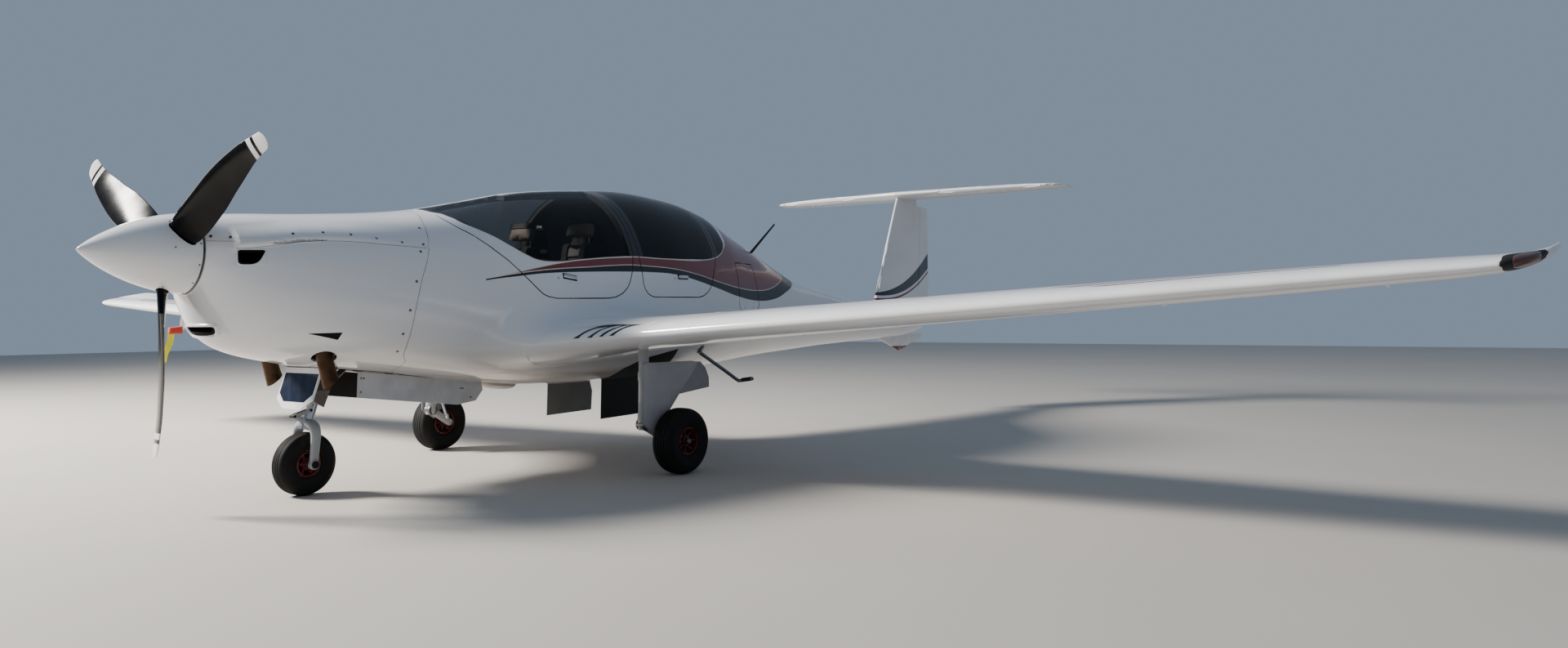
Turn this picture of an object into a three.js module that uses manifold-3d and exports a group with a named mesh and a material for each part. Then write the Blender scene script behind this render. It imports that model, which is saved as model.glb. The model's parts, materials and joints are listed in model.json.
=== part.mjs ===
// Single-engine, four-seat, low-wing light aircraft on retractable gear, parked.
// Millimetres, +Z up, nose towards -Y, the aircraft's left (port) wing towards +X.
// Stations are counted aft from the spinner's tip; the origin is on the ground
// under the middle of the whole aircraft.

import * as THREE from 'three';
import { mergeVertices } from 'three/addons/utils/BufferGeometryUtils.js';
import Module from 'manifold-3d';

const wasm = await Module();
wasm.setup();

// Driving dimensions

const LENGTH = 8070;
const ORIGIN_STATION = LENGTH / 2;
const SEAT_GAP = 0.3;
const PANEL_GAP = 7;

const PROP_AXIS_Z = 1229;
const PROP_STATION = 392;
const PROP_RADIUS = 966;
const SPINNER_BACK = 478;
const SPINNER_RADIUS = 195;

const MAIN_WHEEL = { x: 1120, station: 2846, radius: 190, width: 150, rim: 84 };
const NOSE_WHEEL = { x: 0, station: 1143, radius: 162, width: 112, rim: 70 };

const WALL = 36;
const COWL_WALL = 14;
const FLOOR_Z = 760;
const CAVITY = { front: 1640, back: 4680 };
const TAIL_SPLICE = 4720;
const TAIL_HOLLOW_BACK = 6900;
const BELLY = { top: 738, back: 3840 };
const COWL_SPLIT_Z = 1292;

const y = (station) => station - ORIGIN_STATION;

// Solid helpers

// Six times the volume inside a list of triangles, negative where they face inwards
const signedVolume = (points, index) => {
  let volume = 0;
  for (let t = 0; t < index.length; t += 3) {
    const [p, q, s] = [points[index[t]], points[index[t + 1]], points[index[t + 2]]];
    volume += p.dot(new THREE.Vector3().crossVectors(q, s));
  }
  return volume;
};

const toSolid = (geometry) => {
  const bare = geometry.clone();
  bare.deleteAttribute('normal');
  bare.deleteAttribute('uv');
  const merged = mergeVertices(bare, 1e-3);
  const vertProperties = new Float32Array(merged.attributes.position.array);
  const points = [];
  for (let i = 0; i < vertProperties.length; i += 3) {
    points.push(new THREE.Vector3(...vertProperties.slice(i, i + 3)));
  }
  const index = [...merged.index.array];
  if (signedVolume(points, index) < 0) index.reverse();
  const triVerts = new Uint32Array(index);
  return new wasm.Manifold(new wasm.Mesh({ numProp: 3, vertProperties, triVerts }));
};

const toGeometry = (solid) => {
  const mesh = solid.getMesh();
  const geometry = new THREE.BufferGeometry();
  geometry.setAttribute('position', new THREE.BufferAttribute(new Float32Array(mesh.vertProperties), 3));
  geometry.setIndex(new THREE.BufferAttribute(new Uint32Array(mesh.triVerts), 1));
  return geometry;
};

// A closed skin over a row of rings with equal point counts, capped at both ends
const loft = (rings) => {
  const count = rings[0].length;
  const points = rings.flat();
  const index = [];
  for (let r = 0; r + 1 < rings.length; r += 1) {
    for (let i = 0; i < count; i += 1) {
      const j = (i + 1) % count;
      const a = r * count + i;
      const b = r * count + j;
      index.push(a, b, b + count, a, b + count, a + count);
    }
  }
  [0, rings.length - 1].forEach((r) => {
    const centre = new THREE.Vector3();
    rings[r].forEach((p) => centre.addScaledVector(p, 1 / count));
    points.push(centre);
    for (let i = 0; i < count; i += 1) {
      const a = r * count + i;
      const b = r * count + (i + 1) % count;
      index.push(...(r === 0 ? [points.length - 1, b, a] : [points.length - 1, a, b]));
    }
  });
  const geometry = new THREE.BufferGeometry().setFromPoints(points);
  geometry.setIndex(index);
  return geometry;
};

const moved = (geometry, x, yy, z) => geometry.translate(x, yy, z);

const box = (x0, x1, s0, s1, z0, z1) => moved(
  new THREE.BoxGeometry(x1 - x0, s1 - s0, z1 - z0),
  (x0 + x1) / 2,
  y((s0 + s1) / 2),
  (z0 + z1) / 2,
);

// A side-view outline of [station, z] points, pushed across from x0 to x1
const sidePrism = (outline, x0, x1) => {
  const shape = new THREE.Shape(outline.map(([s, z]) => new THREE.Vector2(y(s), z)));
  const geometry = new THREE.ExtrudeGeometry(shape, { depth: x1 - x0, bevelEnabled: false });
  const basis = new THREE.Matrix4().makeBasis(
    new THREE.Vector3(0, 1, 0),
    new THREE.Vector3(0, 0, 1),
    new THREE.Vector3(1, 0, 0),
  );
  return geometry.applyMatrix4(basis).translate(x0, 0, 0);
};

// A front-view outline of [x, z] points, pushed aft from s0 to s1
const frontPrism = (outline, s0, s1) => {
  const shape = new THREE.Shape(outline.map(([px, pz]) => new THREE.Vector2(px, pz)));
  const geometry = new THREE.ExtrudeGeometry(shape, { depth: s1 - s0, bevelEnabled: false });
  return geometry.rotateX(Math.PI / 2).translate(0, y(s1), 0);
};

// A plan-view outline of [x, station] points, raised from z0 to z1
const planPrism = (outline, z0, z1) => {
  const shape = new THREE.Shape(outline.map(([px, s]) => new THREE.Vector2(px, y(s))));
  return new THREE.ExtrudeGeometry(shape, { depth: z1 - z0, bevelEnabled: false }).translate(0, 0, z0);
};

// A round bar between two points, with a radius at each end
const rod = (from, to, r0, r1 = r0, sides = 12) => {
  const start = new THREE.Vector3(...from);
  const end = new THREE.Vector3(...to);
  const length = start.distanceTo(end);
  const geometry = new THREE.CylinderGeometry(r1, r0, length, sides);
  const turn = new THREE.Quaternion().setFromUnitVectors(
    new THREE.Vector3(0, 1, 0),
    end.clone().sub(start).divideScalar(length),
  );
  return geometry.applyQuaternion(turn).translate(...start.clone().add(end).multiplyScalar(0.5).toArray());
};

const join = (...geometries) => geometries.map(toSolid).reduce((all, next) => all.add(next));
const mirrored = (solid) => solid.mirror([1, 0, 0]);
const HANDS = [['left', (solid) => solid], ['right', mirrored]];

const aircraft = new THREE.Group();

const finish = (color, roughness, metalness = 0) => ({ color, roughness, metalness });
const WHITE = finish('#e9ecef', 0.25);
const BLACK = finish('#17181a', 0.4);
const GLASS = finish('#20262c', 0.08);
const STEEL = finish('#6e5f52', 0.5, 0.8);
const ALLOY = finish('#b9bcc0', 0.35, 0.9);
const RUBBER = finish('#1b1b1c', 0.85);
const RED = finish('#8e1620', 0.4);
const LEATHER = finish('#5a4b40', 0.6);
const GREY = finish('#8d9296', 0.5);

const addNode = (name, solid, look, place = [0, 0, 0]) => {
  const geometry = toGeometry(solid.isBufferGeometry ? toSolid(solid) : solid);
  const mesh = new THREE.Mesh(geometry, new THREE.MeshStandardMaterial(look));
  mesh.name = name;
  mesh.position.set(...place);
  aircraft.add(mesh);
  return mesh;
};

// Body sections: station, top, bottom, half width, height of the widest line,
// and how square the upper and lower quarters are (2 is an ellipse)
const BODY_COLUMNS = ['station', 'top', 'bottom', 'half', 'wide', 'upper', 'lower'];
const BODY = [
  [484, 1425, 1030, 198, 1229, 2.0, 2.0],
  [530, 1428, 925, 246, 1200, 2.1, 2.0],
  [600, 1431, 815, 312, 1165, 2.2, 2.1],
  [720, 1440, 747, 380, 1125, 2.3, 2.2],
  [930, 1453, 695, 452, 1090, 2.35, 2.3],
  [1210, 1475, 650, 514, 1060, 2.4, 2.4],
  [1470, 1501, 620, 554, 1030, 2.4, 2.5],
  [1740, 1540, 585, 584, 1000, 2.3, 2.6],
  [2080, 1614, 541, 606, 970, 2.15, 2.7],
  [2480, 1703, 504, 620, 960, 2.1, 2.7],
  [2890, 1752, 494, 622, 950, 2.1, 2.7],
  [3400, 1786, 500, 600, 950, 2.1, 2.6],
  [3830, 1763, 522, 545, 960, 2.1, 2.5],
  [4200, 1694, 548, 475, 970, 2.1, 2.4],
  [4490, 1581, 572, 415, 975, 2.1, 2.3],
  [4800, 1469, 597, 355, 980, 2.1, 2.2],
  [5130, 1343, 620, 300, 975, 2.1, 2.1],
  [5480, 1224, 640, 250, 945, 2.1, 2.1],
  [5970, 1142, 668, 200, 915, 2.1, 2.1],
  [6510, 1060, 690, 155, 885, 2.1, 2.1],
  [7010, 1030, 707, 118, 872, 2.1, 2.1],
  [7450, 1020, 728, 80, 872, 2.1, 2.1],
  [7880, 1010, 800, 34, 900, 2.1, 2.1],
].map((row) => Object.fromEntries(row.map((value, i) => [BODY_COLUMNS[i], value])));

const RING_POINTS = 28;

// Between its neighbours, a section follows a smooth curve through the table
const bodyAt = (station) => {
  let i = 0;
  while (i + 2 < BODY.length && BODY[i + 1].station < station) i += 1;
  const [before, from, to, after] = [i - 1, i, i + 1, i + 2].map((k) => (
    BODY[Math.min(Math.max(k, 0), BODY.length - 1)]
  ));
  const span = to.station - from.station;
  const t = Math.min(Math.max((station - from.station) / span, 0), 1);
  const at = {};
  BODY_COLUMNS.slice(1).forEach((key) => {
    const slope = (to[key] - from[key]) / span;
    const into = from === before ? slope : (to[key] - before[key]) / (to.station - before.station);
    const out = to === after ? slope : (after[key] - from[key]) / (after.station - from.station);
    const h = 3 * t * t - 2 * t * t * t;
    at[key] = from[key] * (1 - h) + to[key] * h
      + span * (into * t * (1 - t) * (1 - t) - out * t * t * (1 - t));
  });
  return at;
};

const bodyRing = (station, inset) => {
  const at = bodyAt(station);
  const ring = [];
  for (let i = 0; i < RING_POINTS; i += 1) {
    const angle = (i * 2 * Math.PI) / RING_POINTS;
    const [c, s] = [Math.cos(angle), Math.sin(angle)];
    const power = 2 / (s >= 0 ? at.upper : at.lower);
    const rise = s >= 0 ? at.top - at.wide : at.wide - at.bottom;
    ring.push(new THREE.Vector3(
      (at.half - inset) * Math.sign(c) * Math.abs(c) ** power,
      y(station),
      at.wide + (rise - inset) * Math.sign(s) * Math.abs(s) ** power,
    ));
  }
  return ring;
};

const bodyLoft = (stations, inset) => toSolid(loft(stations.map((s) => bodyRing(s, inset))));
const bodyStations = BODY.map((row) => row.station);
const between = (from, to) => [from, ...bodyStations.filter((s) => s > from + 1 && s < to - 1), to];

const hull = bodyLoft(bodyStations, 0);
const hullFit = bodyLoft(between(484, 7880), -SEAT_GAP);

// The seam between the cowling and the body, seen from the side
const COWL_SEAM = [[1630, 1600], [1628, 1524], [1565, 1424], [1500, 1260], [1430, 1080], [1405, 880],
  [1425, 740], [1490, 660], [1500, 500]];
const shiftedSeam = (shift) => COWL_SEAM.map(([s, z]) => [s + shift, z]);
const noseSide = (shift) => toSolid(sidePrism([...shiftedSeam(shift), [200, 500], [200, 1600]], -900, 900));

// Door and window outlines, seen from the side
const FRONT_DOOR = [[1712, 1900], [1708, 1520], [1722, 1462], [1760, 1420], [1833, 1374], [2008, 1239],
  [2100, 1158], [2193, 1078], [2226, 1053], [2266, 1038], [2330, 1029], [2744, 1035], [2810, 1043],
  [2870, 1066], [2920, 1104], [2952, 1150], [2982, 1212], [3018, 1320], [3030, 1500], [3030, 1900]];
const REAR_DOOR = [[3076, 1900], [3076, 1500], [3078, 1290], [3077, 1130], [3090, 1094], [3115, 1067],
  [3150, 1052], [3182, 1047], [3666, 1052], [3735, 1063], [3791, 1087], [3832, 1116], [3862, 1152],
  [3970, 1330], [3985, 1390], [3985, 1900]];
const FRONT_GLASS = [[1752, 1900], [1752, 1508], [1790, 1472], [1861, 1428], [1953, 1382], [2070, 1318],
  [2151, 1277], [2223, 1254], [2343, 1247], [2565, 1268], [2802, 1290], [2990, 1302], [2992, 1500],
  [2992, 1900]];
const REAR_GLASS_SILL = [[3116, 1303], [3560, 1306], [3800, 1315]];
const REAR_GLASS = [[3116, 1900], ...REAR_GLASS_SILL, [3916, 1330], [3944, 1346], [3955, 1380], [3955, 1900]];
// The fixed pane behind the rear door, and the right-hand window that is one pane as long as both
const QUARTER_GLASS_END = [[4064, 1369], [4110, 1392], [4146, 1420], [4168, 1455], [4176, 1500], [4166, 1600],
  [4130, 1900]];
const QUARTER_GLASS = [[4022, 1900], [4022, 1352], ...QUARTER_GLASS_END];
const RIGHT_REAR_GLASS = [[3116, 1900], ...REAR_GLASS_SILL, [3930, 1328], [4010, 1347], ...QUARTER_GLASS_END];
const POST_HALF = 24;
const ROOF_HALF = 92;
const GLASS_TOP_HALF = 130;
const ROOF_START = 2330;
const DOOR_WALL = 34;

// An outline with every edge moved out by the same distance
const grown = (outline, by) => {
  const count = outline.length;
  const at = (i) => outline[(i + count) % count];
  const area = outline.reduce((sum, [s, z], i) => sum + s * at(i + 1)[1] - at(i + 1)[0] * z, 0);
  const normal = (i) => {
    const [ds, dz] = [at(i + 1)[0] - at(i)[0], at(i + 1)[1] - at(i)[1]];
    const length = Math.hypot(ds, dz) * Math.sign(area);
    return [dz / length, -ds / length];
  };
  return outline.map(([s, z], i) => {
    const [[as, az], [bs, bz]] = [normal(i - 1 + count), normal(i)];
    const share = by / Math.max(1 + as * bs + az * bz, 0.5);
    return [s + (as + bs) * share, z + (az + bz) * share];
  });
};

// The block of space that a door takes: its side outline, out from the roof's strip
// and, ahead of the roof, out from the windscreen's centre post
const doorSpace = (outline, by, roofHalf, postHalf) => {
  const wide = grown(outline, by);
  const all = toSolid(sidePrism(wide, roofHalf - by, 900));
  const front = toSolid(sidePrism(wide, postHalf - by, 900));
  const ahead = toSolid(box(-100, 950, 1500, ROOF_START + by, 900, 2000));
  return all.add(front.intersect(ahead));
};

const frontDoorHole = doorSpace(FRONT_DOOR, PANEL_GAP, ROOF_HALF, POST_HALF);
const frontDoorFill = doorSpace(FRONT_DOOR, 0, ROOF_HALF, POST_HALF);
const rearDoorHole = doorSpace(REAR_DOOR, PANEL_GAP, ROOF_HALF, ROOF_HALF);
const rearDoorFill = doorSpace(REAR_DOOR, 0, ROOF_HALF, ROOF_HALF);
const frontGlassHole = doorSpace(FRONT_GLASS, SEAT_GAP, GLASS_TOP_HALF, POST_HALF + 30);
const frontGlassFill = doorSpace(FRONT_GLASS, 0, GLASS_TOP_HALF, POST_HALF + 30);
const rearPane = (outline, by) => doorSpace(outline, by, GLASS_TOP_HALF, GLASS_TOP_HALF);

const BAGGAGE_DOOR = [[4280, 1310], [4270, 1000], [4300, 960], [4560, 960], [4590, 1000], [4570, 1310]];
const baggageHole = toSolid(sidePrism(grown(BAGGAGE_DOOR, PANEL_GAP), 150, 900));
const baggageFill = toSolid(sidePrism(BAGGAGE_DOOR, 150, 900));

// The body's shell: hollow from the firewall to the baggage bulkhead. The cabin's floor, the belly
// under it and the boom behind the splice are pieces of their own.
const cavityStations = between(CAVITY.front, CAVITY.back);
const aboveFloor = toSolid(box(-800, 800, CAVITY.front, CAVITY.back, FLOOR_Z, 2000));
const floorRoom = toSolid(box(-800, 800, CAVITY.front, BELLY.back + SEAT_GAP, BELLY.top - 40, FLOOR_Z + 1));
const cavity = bodyLoft(cavityStations, WALL).intersect(aboveFloor.add(floorRoom));
const doorLining = bodyLoft(between(1640, 4400), DOOR_WALL);
const glassInside = bodyLoft(between(1640, 4400), 14);
const shell = hull.subtract(cavity);

// Wheel wells: half widths or x range, stations and roof height
const NOSE_BAY = { half: 125, front: 1160, back: 2130, roof: 722 };
const MAIN_WELL = { inner: 262, outer: 620, front: 3035, back: 3495 };
const WELL_ROOF = [[MAIN_WELL.front, 592], [3160, 652], [MAIN_WELL.back, 706]];
const { half: bayHalf, front: bayFront, back: bayBack, roof: bayRoof } = NOSE_BAY;
const noseBay = toSolid(box(-bayHalf, bayHalf, bayFront, bayBack, 300, bayRoof));
const { inner: wellInner, outer: wellOuter, front: wellFront, back: wellBack } = MAIN_WELL;
const wellSide = [[wellFront, 300], ...WELL_ROOF, [wellBack, 300]];
const mainWell = toSolid(sidePrism(wellSide, wellInner, wellOuter));

const tailRoom = toSolid(box(-900, 900, TAIL_SPLICE, 8400, 300, 2000));
const bellyRoom = (gap) => toSolid(box(-900, 900, 1000, BELLY.back + gap, 300, BELLY.top + gap));
const bodyCuts = [noseSide(0.6), frontDoorHole, mirrored(frontDoorHole), rearDoorHole, baggageHole,
  rearPane(QUARTER_GLASS, SEAT_GAP), mirrored(rearPane(RIGHT_REAR_GLASS, SEAT_GAP)),
  bellyRoom(SEAT_GAP), toSolid(box(-900, 900, TAIL_SPLICE - SEAT_GAP, 8400, 300, 2000))];
addNode('fuselage', bodyCuts.reduce((left, cut) => left.subtract(cut), shell), WHITE);
addNode('belly', [noseSide(0.6), noseBay, mainWell, mirrored(mainWell)]
  .reduce((left, cut) => left.subtract(cut), hull.intersect(bellyRoom(0))), WHITE);
addNode('cabin_floor', bodyLoft(cavityStations, WALL + SEAT_GAP).intersect(toSolid(box(-800, 800,
  CAVITY.front + SEAT_GAP, BELLY.back, BELLY.top + SEAT_GAP, FLOOR_Z))), GREY);
const tailHollow = bodyLoft(between(TAIL_SPLICE - 20, TAIL_HOLLOW_BACK), WALL);
addNode('tail_boom', hull.intersect(tailRoom).subtract(tailHollow), WHITE);

const doorShell = hull.subtract(doorLining);
const glassShell = hull.subtract(glassInside);
addNode('rear_quarter_glass', glassShell.intersect(rearPane(QUARTER_GLASS, 0)), GLASS);
addNode('rear_window_right', glassShell.intersect(mirrored(rearPane(RIGHT_REAR_GLASS, 0))), GLASS);
// Each door turns about a short bead that lies in its seam, halfway across the gap
const SEAM_X = ROOF_HALF - PANEL_GAP / 2;
const FRONT_HINGE = { station: 2960, z: 1744.5, inwards: 0.0531, rise: 0.12, half: 18, radius: 2.2 };
const REAR_HINGE = { station: 3400, z: 1773.5, half: 60, radius: PANEL_GAP / 2 - SEAT_GAP };
const bead = (hinge, x) => {
  const end = (step) => [
    x + step * (hinge.inwards ?? 0),
    y(hinge.station + step),
    hinge.z + step * (hinge.rise ?? 0),
  ];
  return toSolid(rod(end(-hinge.half), end(hinge.half), hinge.radius, hinge.radius, 8));
};
const roofHinge = (hinge) => bead(hinge, SEAM_X).add(toSolid(box(SEAM_X, ROOF_HALF + 4,
  hinge.station - hinge.half + 4, hinge.station + hinge.half - 4, hinge.z - 4, hinge.z - 1)));
HANDS.forEach(([side, hand]) => {
  addNode(`front_door_${side}`, doorShell.intersect(hand(frontDoorFill)).subtract(hand(frontGlassHole))
    .add(hand(roofHinge(FRONT_HINGE))), WHITE);
  addNode(`front_door_glass_${side}`, glassShell.intersect(hand(frontGlassFill)), GLASS);
});
addNode('rear_door', doorShell.intersect(rearDoorFill).subtract(rearPane(REAR_GLASS, SEAT_GAP))
  .add(roofHinge(REAR_HINGE)), WHITE);
addNode('rear_door_glass', glassShell.intersect(rearPane(REAR_GLASS, 0)), GLASS);
const BAGGAGE_HINGE = { station: 4430, x: 364.2, z: 1313.5, inwards: -0.2575, half: 50, radius: 3.2 };
addNode('baggage_door', hull.subtract(bodyLoft(between(4100, 4800), 24)).intersect(baggageFill)
  .add(bead(BAGGAGE_HINGE, BAGGAGE_HINGE.x))
  .add(toSolid(box(BAGGAGE_HINGE.x - 5, BAGGAGE_HINGE.x + 1, BAGGAGE_HINGE.station - 6,
    BAGGAGE_HINGE.station + 6, BAGGAGE_HINGE.z - 8, BAGGAGE_HINGE.z))), WHITE);

// Cowling in two halves, with its inlets, exhaust holes and the propeller shaft's hole
const cowlShell = hull.subtract(bodyLoft(between(506, 1700), COWL_WALL)).intersect(noseSide(0));
const SIDE_INLET = { front: 584, back: 690, z: 1207, halfHeight: 32 };
const CHIN_INLET = { station: 545, z: 868, halfWidth: 135, halfHeight: 24 };
const EXHAUST = { x: 262, station: 1070, bottom: 588, aft: 45, radius: 40 };
const exhaustHole = toSolid(moved(new THREE.CylinderGeometry(62, 62, 260, 20).rotateX(Math.PI / 2),
  EXHAUST.x, y(EXHAUST.station), 700));
const COWL_CUTS = [
  toSolid(box(-900, 900, SIDE_INLET.front, SIDE_INLET.back,
    SIDE_INLET.z - SIDE_INLET.halfHeight, SIDE_INLET.z + SIDE_INLET.halfHeight)),
  toSolid(box(-CHIN_INLET.halfWidth, CHIN_INLET.halfWidth, 450, 800,
    CHIN_INLET.z - CHIN_INLET.halfHeight, CHIN_INLET.z + CHIN_INLET.halfHeight)),
  toSolid(moved(new THREE.CylinderGeometry(90, 90, 200, 24), 0, y(500), PROP_AXIS_Z)),
  exhaustHole,
  mirrored(exhaustHole),
  noseBay,
];
const cowl = COWL_CUTS.reduce((left, cut) => left.subtract(cut), cowlShell);
addNode('cowl_upper', cowl.intersect(toSolid(box(-900, 900, 300, 1800, COWL_SPLIT_Z + 0.25, 1900))), WHITE);
addNode('cowl_lower', cowl.intersect(toSolid(box(-900, 900, 300, 1800, 300, COWL_SPLIT_Z - 0.25))), WHITE);

const BACK_PLATE = { front: 467, rear: 473 };

// Engine: one plain block with its shaft forward and its mount back to the firewall
const ENGINE = { half: 270, front: 780, back: 1380, low: 930, high: 1310 };
addNode('engine', join(
  box(-ENGINE.half, ENGINE.half, ENGINE.front, ENGINE.back, ENGINE.low, ENGINE.high),
  moved(new THREE.CylinderGeometry(62, 62, 330, 20), 0, y(BACK_PLATE.rear + SEAT_GAP + 165), PROP_AXIS_Z),
  box(-170, 170, ENGINE.back - 5, 1600, 1080, 1250),
).intersect(noseSide(SEAT_GAP)), finish('#5b5e60', 0.6, 0.7));

// Exhaust pipes, one on each side of the nose leg, hung from the engine
[['left', 1], ['right', -1]].forEach(([side, sign]) => {
  const top = [sign * (EXHAUST.x - 40), y(EXHAUST.station - 20), ENGINE.low - SEAT_GAP];
  const knee = [sign * EXHAUST.x, y(EXHAUST.station - 6), 760];
  const end = [sign * EXHAUST.x, y(EXHAUST.station + EXHAUST.aft), EXHAUST.bottom];
  const pipe = join(rod(knee, top, 36), rod(end, knee, EXHAUST.radius), new THREE.SphereGeometry(41, 10, 6)
    .translate(...knee));
  const bore = toSolid(rod([end[0], end[1] + 14, end[2] - 50], [knee[0], knee[1] - 3, knee[2] - 20], 33));
  const trim = toSolid(box(-600, 600, 700, 1500, ENGINE.low - SEAT_GAP, 1400));
  addNode(`exhaust_${side}`, pipe.subtract(bore).subtract(trim), STEEL);
});

// Propeller: spinner, hub and three swept blades

const spinnerProfile = [];
const SPINNER_STEPS = 8;
for (let i = 0; i <= SPINNER_STEPS; i += 1) {
  const along = i / SPINNER_STEPS;
  spinnerProfile.push(new THREE.Vector2(
    SPINNER_RADIUS * (1 - (1 - along) ** 1.75) ** 0.86,
    -SPINNER_BACK * along,
  ));
}
const SPINNER_WALL = 8;
const spinnerOuter = new THREE.LatheGeometry([...spinnerProfile, new THREE.Vector2(0, -SPINNER_BACK)], 24);
const innerProfile = spinnerProfile.slice(1).map((p) => new THREE.Vector2(p.x - SPINNER_WALL, p.y));
const spinnerInner = new THREE.LatheGeometry([
  new THREE.Vector2(0, innerProfile[0].y - 12),
  ...innerProfile.slice(1),
  new THREE.Vector2(SPINNER_RADIUS - SPINNER_WALL, -SPINNER_BACK - 40),
  new THREE.Vector2(0, -SPINNER_BACK - 40),
], 24);
const noseward = (geometry) => toSolid(geometry.rotateX(Math.PI).translate(0, y(0), PROP_AXIS_Z));
const BLADES = [['bottom', 180], ['upper_left', 60], ['upper_right', -60]];

// Blade sections: share of the radius, chord, thickness, pitch in degrees, sweep back in the disc
const BLADE_COLUMNS = ['share', 'chord', 'thick', 'pitch', 'sweep'];
const BLADE = [
  [0.078, 84, 70, 50, 0],
  [0.16, 132, 52, 40, 2],
  [0.24, 166, 38, 31, 4],
  [0.36, 182, 28, 25, 2],
  [0.5, 186, 22, 21, -6],
  [0.66, 164, 17, 18, -16],
  [0.8, 132, 13, 16, -15],
  [0.91, 102, 10, 13, -2],
  [0.97, 76, 7, 12, 12],
  [1.0, 48, 5, 12, 24],
].map((row) => Object.fromEntries(row.map((value, i) => [BLADE_COLUMNS[i], value])));
const BLADE_RING = 12;

const bladeRing = (at) => {
  const pitch = THREE.MathUtils.degToRad(at.pitch);
  const ring = [];
  for (let i = 0; i < BLADE_RING; i += 1) {
    const angle = (i * 2 * Math.PI) / BLADE_RING;
    const along = (Math.cos(angle) * at.chord) / 2;
    const across = (Math.sin(angle) * at.thick) / 2;
    ring.push(new THREE.Vector3(
      along * Math.cos(pitch) - across * Math.sin(pitch) + at.sweep,
      along * Math.sin(pitch) + across * Math.cos(pitch),
      at.share * PROP_RADIUS,
    ));
  }
  return ring;
};
const bladeAtTop = loft(BLADE.map(bladeRing));
const turned = (geometry, degrees, about = [0, y(PROP_STATION), PROP_AXIS_Z]) => (
  geometry.clone().rotateY(THREE.MathUtils.degToRad(degrees)).translate(...about)
);
const HUB = { radius: 78, front: 326, back: BACK_PLATE.front - SEAT_GAP };
const BLADE_ROOM = 14;
const bladeRoom = loft(BLADE.slice(0, 4).map((at) => (
  bladeRing({ ...at, chord: at.chord + BLADE_ROOM, thick: at.thick + BLADE_ROOM })
)));
const bladeHoles = BLADES.map(([, degrees]) => toSolid(turned(bladeRoom, degrees)));
const spinnerShell = noseward(spinnerOuter).subtract(noseward(spinnerInner));
// A round plate about the propeller's axis, between two stations
const disc = (radius, front, back) => toSolid(moved(
  new THREE.CylinderGeometry(radius, radius, back - front, 24),
  0,
  y((front + back) / 2),
  PROP_AXIS_Z,
));
addNode('spinner', bladeHoles.reduce((left, hole) => left.subtract(hole), spinnerShell)
  .add(disc(SPINNER_RADIUS - 4, BACK_PLATE.front, BACK_PLATE.rear)), WHITE);
addNode('propeller_hub', disc(HUB.radius, HUB.front, HUB.back), ALLOY);
BLADES.forEach(([name, degrees]) => {
  const blade = toSolid(turned(bladeAtTop, degrees));
  const clear = disc(HUB.radius + SEAT_GAP, PROP_STATION - 150, PROP_STATION + 150);
  addNode(`propeller_blade_${name}`, blade.subtract(clear), BLACK);
});

// Wing sections: x, leading and trailing edge stations, height of the chord line, thickness
const WING_COLUMNS = ['x', 'lead', 'trail', 'z', 'thick'];
const WING = [
  [330, 1830, 3830, 735, 300],
  [620, 2010, 3760, 760, 262],
  [800, 2150, 3700, 780, 225],
  [1010, 2275, 3640, 800, 196],
  [1280, 2350, 3570, 820, 178],
  [2900, 2350, 3330, 924, 138],
  [5000, 2350, 3030, 1058, 88],
  [5250, 2356, 2990, 1074, 72],
  [5345, 2440, 2978, 1094, 52],
  [5400, 2580, 2966, 1124, 34],
  [5430, 2760, 2950, 1160, 14],
].map((row) => Object.fromEntries(row.map((value, i) => [WING_COLUMNS[i], value])));
const AIRFOIL_POINTS = 20;

// Half thickness of a round-nosed, thin-tailed section, as a share of its full thickness
const halfThickness = (t) => (
  1.4845 * Math.sqrt(t) - 0.63 * t - 1.758 * t * t + 1.4215 * t ** 3 - 0.505 * t ** 4
);

const airfoilRing = (chord, thick, place) => {
  const ring = [];
  for (let i = 0; i < AIRFOIL_POINTS; i += 1) {
    const angle = (i * 2 * Math.PI) / AIRFOIL_POINTS;
    const t = (1 - Math.cos(angle)) / 2;
    const side = angle < Math.PI ? 1 : -1;
    const blunt = t > 0.97 ? 2 : 0;
    const camber = 0.022 * chord * 4 * t * (1 - t);
    ring.push(place(t * chord, camber * 0.8, side * (halfThickness(t) * thick + blunt)));
  }
  return ring;
};

// A table's row at any value of its first column, on the straight line between two rows
const rowAt = (table, column, value) => {
  let i = 0;
  while (i + 2 < table.length && table[i + 1][column] < value) i += 1;
  const [from, to] = [table[i], table[i + 1]];
  const t = (value - from[column]) / (to[column] - from[column]);
  return Object.fromEntries(Object.keys(from).map((key) => [key, from[key] + (to[key] - from[key]) * t]));
};
const wingAt = (x) => rowAt(WING, 'x', x);
const wingRing = (at) => airfoilRing(at.trail - at.lead, at.thick, (s, camber, h) => (
  new THREE.Vector3(at.x, y(at.lead + s), at.z + camber + h)
));
const wingWhole = toSolid(loft(WING.map(wingRing)));

// Flap and aileron: span, hinge line as a share of the chord
const HINGE_SHARE = 0.74;
const FLAP = { from: 660, to: 2900 };
const AILERON = { from: 2960, to: 4960 };
const END_GAP = 12;
const hingePoint = (x, lower = 0) => {
  const at = wingAt(x);
  const chord = at.trail - at.lead;
  return new THREE.Vector3(x, y(at.lead + chord * HINGE_SHARE), at.z + 0.022 * chord * 0.62 - lower);
};
const noseRadius = (x) => wingAt(x).thick * halfThickness(HINGE_SHARE);

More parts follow.
